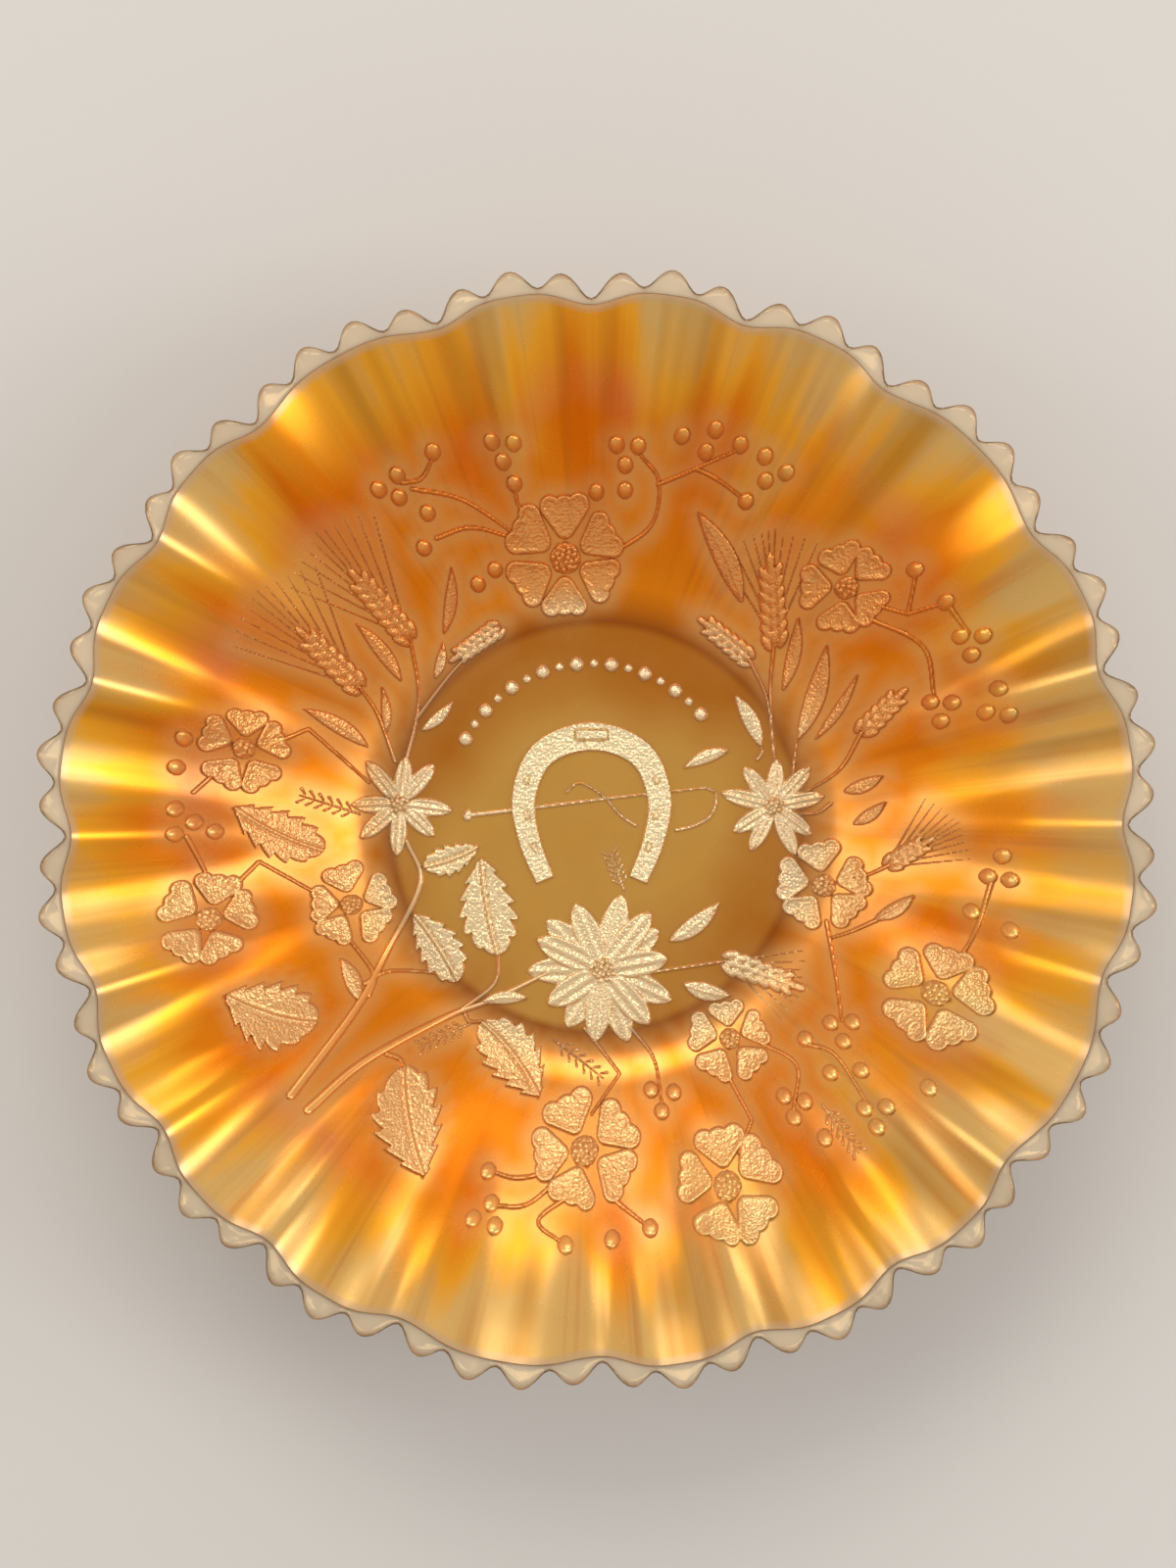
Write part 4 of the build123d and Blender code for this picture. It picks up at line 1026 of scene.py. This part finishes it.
def footSection():  # radius and height of the foot's section, from the outside in
    out, inside = bowl["wellRadius"], bowl["wellRadius"] - bowl["footWidth"]
    corner = bowl["footWidth"] / 4
    bend = [(corner * (1 - math.cos(a)), corner * (1 - math.sin(a))) for a in body["bends"]]
    low, high, slope = body["recess"]
    line = [(out, body["footTop"]), (out, corner)] + [(out - a, b) for a, b in bend]
    line += [(inside + a, b) for a, b in reversed(bend)] + [(inside, corner)]
    return line + [(inside, low), (inside - slope, high)]


def bodyRings():  # the kind of each ring of points and its share of that stretch
    rings = [("well", s) for s in np.linspace(0, 1, body["wellSteps"])]
    rings += [("wall", s) for s in np.linspace(0, 1, body["wallSteps"] + 1)[1:]]
    rings += [("step", s) for s in (0.35, 0.75, 1.0)]
    rings += [("tooth", s) for s in np.linspace(0.08, 1, body["toothSteps"])]
    rings += [("tip", s) for s in (0.2, 0.5, 0.8)]
    rings += [("toothBack", s) for s in np.linspace(1, 0, body["toothBackSteps"])]
    rings += [("back", s) for s in np.linspace(1, 0, body["backSteps"])]
    rings += [("foot", s) for s in range(len(footSection()))]
    return rings + [("under", s) for s in np.linspace(0.97, 0, body["underSteps"])]


def ringPoints(kind, s, clock):  # radius and height of one ring
    line, length, top = edgeAt(clock)
    tooth = toothWave(clock)
    well, tip, slope = bowl["wellRadius"], bowl["toothTip"], bowl["toothRise"] * length
    end, ledge, flat = length - body["tip"], body["ledge"], np.ones(len(clock))
    if kind == "well":
        return well * s * flat, bowl["wellTop"] * flat
    if kind == "wall":
        r = well + (line - well) * s
        bead = body["bead"] * unit((s - body["beadStart"]) / (1 - body["beadStart"]))
        return r, insideHeight(r, clock) - body["innerRipple"] * tooth * ruffleGrowth(r) + bead
    if kind == "step":
        drop = (bowl["toothStep"] + body["ledgeRise"]) * (1 - s) - body["ledgeDrop"] * s
        return line + ledge * s, top + drop
    if kind == "tooth":
        dome = body["toothDome"] * length * 4 * s * (1 - s) * (body["dome"][0] + body["dome"][1] * tooth)
        nub = body["nub"] * tooth ** 3 * np.exp(-((s - body["nubAt"]) / body["nubWidth"]) ** 2)
        z = top + slope * s + dome + nub - body["ledgeDrop"] * (1 - s)
        return line + ledge + (end - ledge) * s, z
    if kind == "tip":
        r = line + end + body["tipRound"] * tip * math.sin(math.pi * s)
        return r, top + slope - tip / 2 * (1 - math.cos(math.pi * s))
    if kind == "toothBack":
        thick = bowl["toothBase"] + (tip - bowl["toothBase"]) * s
        return line + end * s, top + slope * s - thick
    if kind == "back":
        r = well + (line - well) * s * body["backReach"]
        thick = bowl["wall"] / np.sqrt(1 - slopeSine(r) ** 2)
        ribs = bowl["ribDepth"] * tooth ** body["ribFullness"] * unit((r - well) / bowl["ribRunIn"])
        return r, insideHeight(r, clock) - thick - ribs
    if kind == "foot":
        r, z = footSection()[s]
        return r * flat, z * flat
    return footSection()[-1][0] * s * flat, bowl["footHeight"] * flat


def makeBody():
    rings = bodyRings()
    startClean()
    bpy.ops.mesh.primitive_grid_add(
        x_subdivisions=toothCount * body["around"], y_subdivisions=len(rings) - 1, size=2)
    skin = bpy.context.object
    points = readPoints(skin.data)
    ring = np.round((points[:, 1] + 1) / 2 * (len(rings) - 1)).astype(int)
    clock = (points[:, 0] + 1) / 2 * 360 + bowl["ringTurn"]
    r, z = np.zeros(len(points)), np.zeros(len(points))
    for number, (kind, s) in enumerate(rings):
        row = ring == number
        r[row], z[row] = ringPoints(kind, s, clock[row])
    points = np.stack([r * sind(clock), r * cosd(clock), z], axis=1)
    skin.data.vertices.foreach_set("co", (points * mm).ravel())
    setMode("EDIT")
    bpy.ops.mesh.select_all(action="SELECT")
    bpy.ops.mesh.remove_doubles(threshold=body["weld"])
    bpy.ops.mesh.normals_make_consistent(inside=False)
    setMode("OBJECT")
    bpy.ops.object.shade_smooth_by_angle(angle=math.radians(body["sharpEdge"]))
    skin.name = skin.data.name = "bowl_glass"
    skin.data.materials.append(glass["body"])
    return skin


bowlGlass = makeBody()

marks = dict(
    reach=4.2, power=1.3, start=42.0, fade=6.0, inWell=0.15, depth=0.8, search=3,
    clear=(0.15, 0.4), footClear=0.5, footHeight=3.2, outer=(0.30, 0.25), inner=(0.10, 0.60),
)


def nearestMotif(x, y):  # signed distance to the nearest motif in plan
    near = np.full(len(x), -9.0)
    for name, slot, field, spots, reach in motifs:
        for spot in spots:
            corners, margin = reach(spot)
            low = corners.min(axis=0) - margin - marks["search"]
            high = corners.max(axis=0) + margin + marks["search"]
            hit = (x > low[0]) & (x < high[0]) & (y > low[1]) & (y < high[1])
            if hit.any():
                near[hit] = np.maximum(near[hit], field(x[hit], y[hit], spot)[0])
    return near


def paintBody(skin):  # how close each point of the skin is to a motif, and to the toothed edge
    x, y, z = (readPoints(skin.data) / mm).T
    radius = np.hypot(x, y)
    line, length, top = edgeAt(np.degrees(np.arctan2(x, y)))
    halo = unit(nearestMotif(x, y) / marks["reach"] + 1) ** marks["power"]
    halo = halo * (z > insideAt(x, y) - marks["depth"])
    halo = halo * np.clip((radius - marks["start"]) / marks["fade"], marks["inWell"], 1)
    clear = unit((radius - line + marks["clear"][0]) / marks["clear"][1])
    below = (z < marks["footHeight"]) & (radius < bowl["wellRadius"] + 0.1)
    clear = np.maximum(clear, np.where(below, marks["footClear"], 0))
    # painted shade: dark lines along the outer edge of the teeth and at the step where they meet the wall
    outer = unit((radius - line - length + marks["outer"][0]) / marks["outer"][1])
    inner = unit(1 - np.abs(radius - line - marks["inner"][0]) / marks["inner"][1])
    writeMark(skin.data, "paleHalo", halo)
    writeMark(skin.data, "clearEdge", clear)
    writeMark(skin.data, "edgeShadeLine", np.maximum(outer, inner * (z > top - 1)))


paintBody(bowlGlass)
keepPiece(bowlGlass, "wall_glass", "well_floor", "ruffled_wall", "piecrust_edge", "collar_foot")
print("bowl body", len(bowlGlass.data.polygons), "faces")

for name, slot, field, spots, reach in motifs:
    makeRelief(name, slot, field, spots, reach)
print("relief", len(motifs), "pieces")
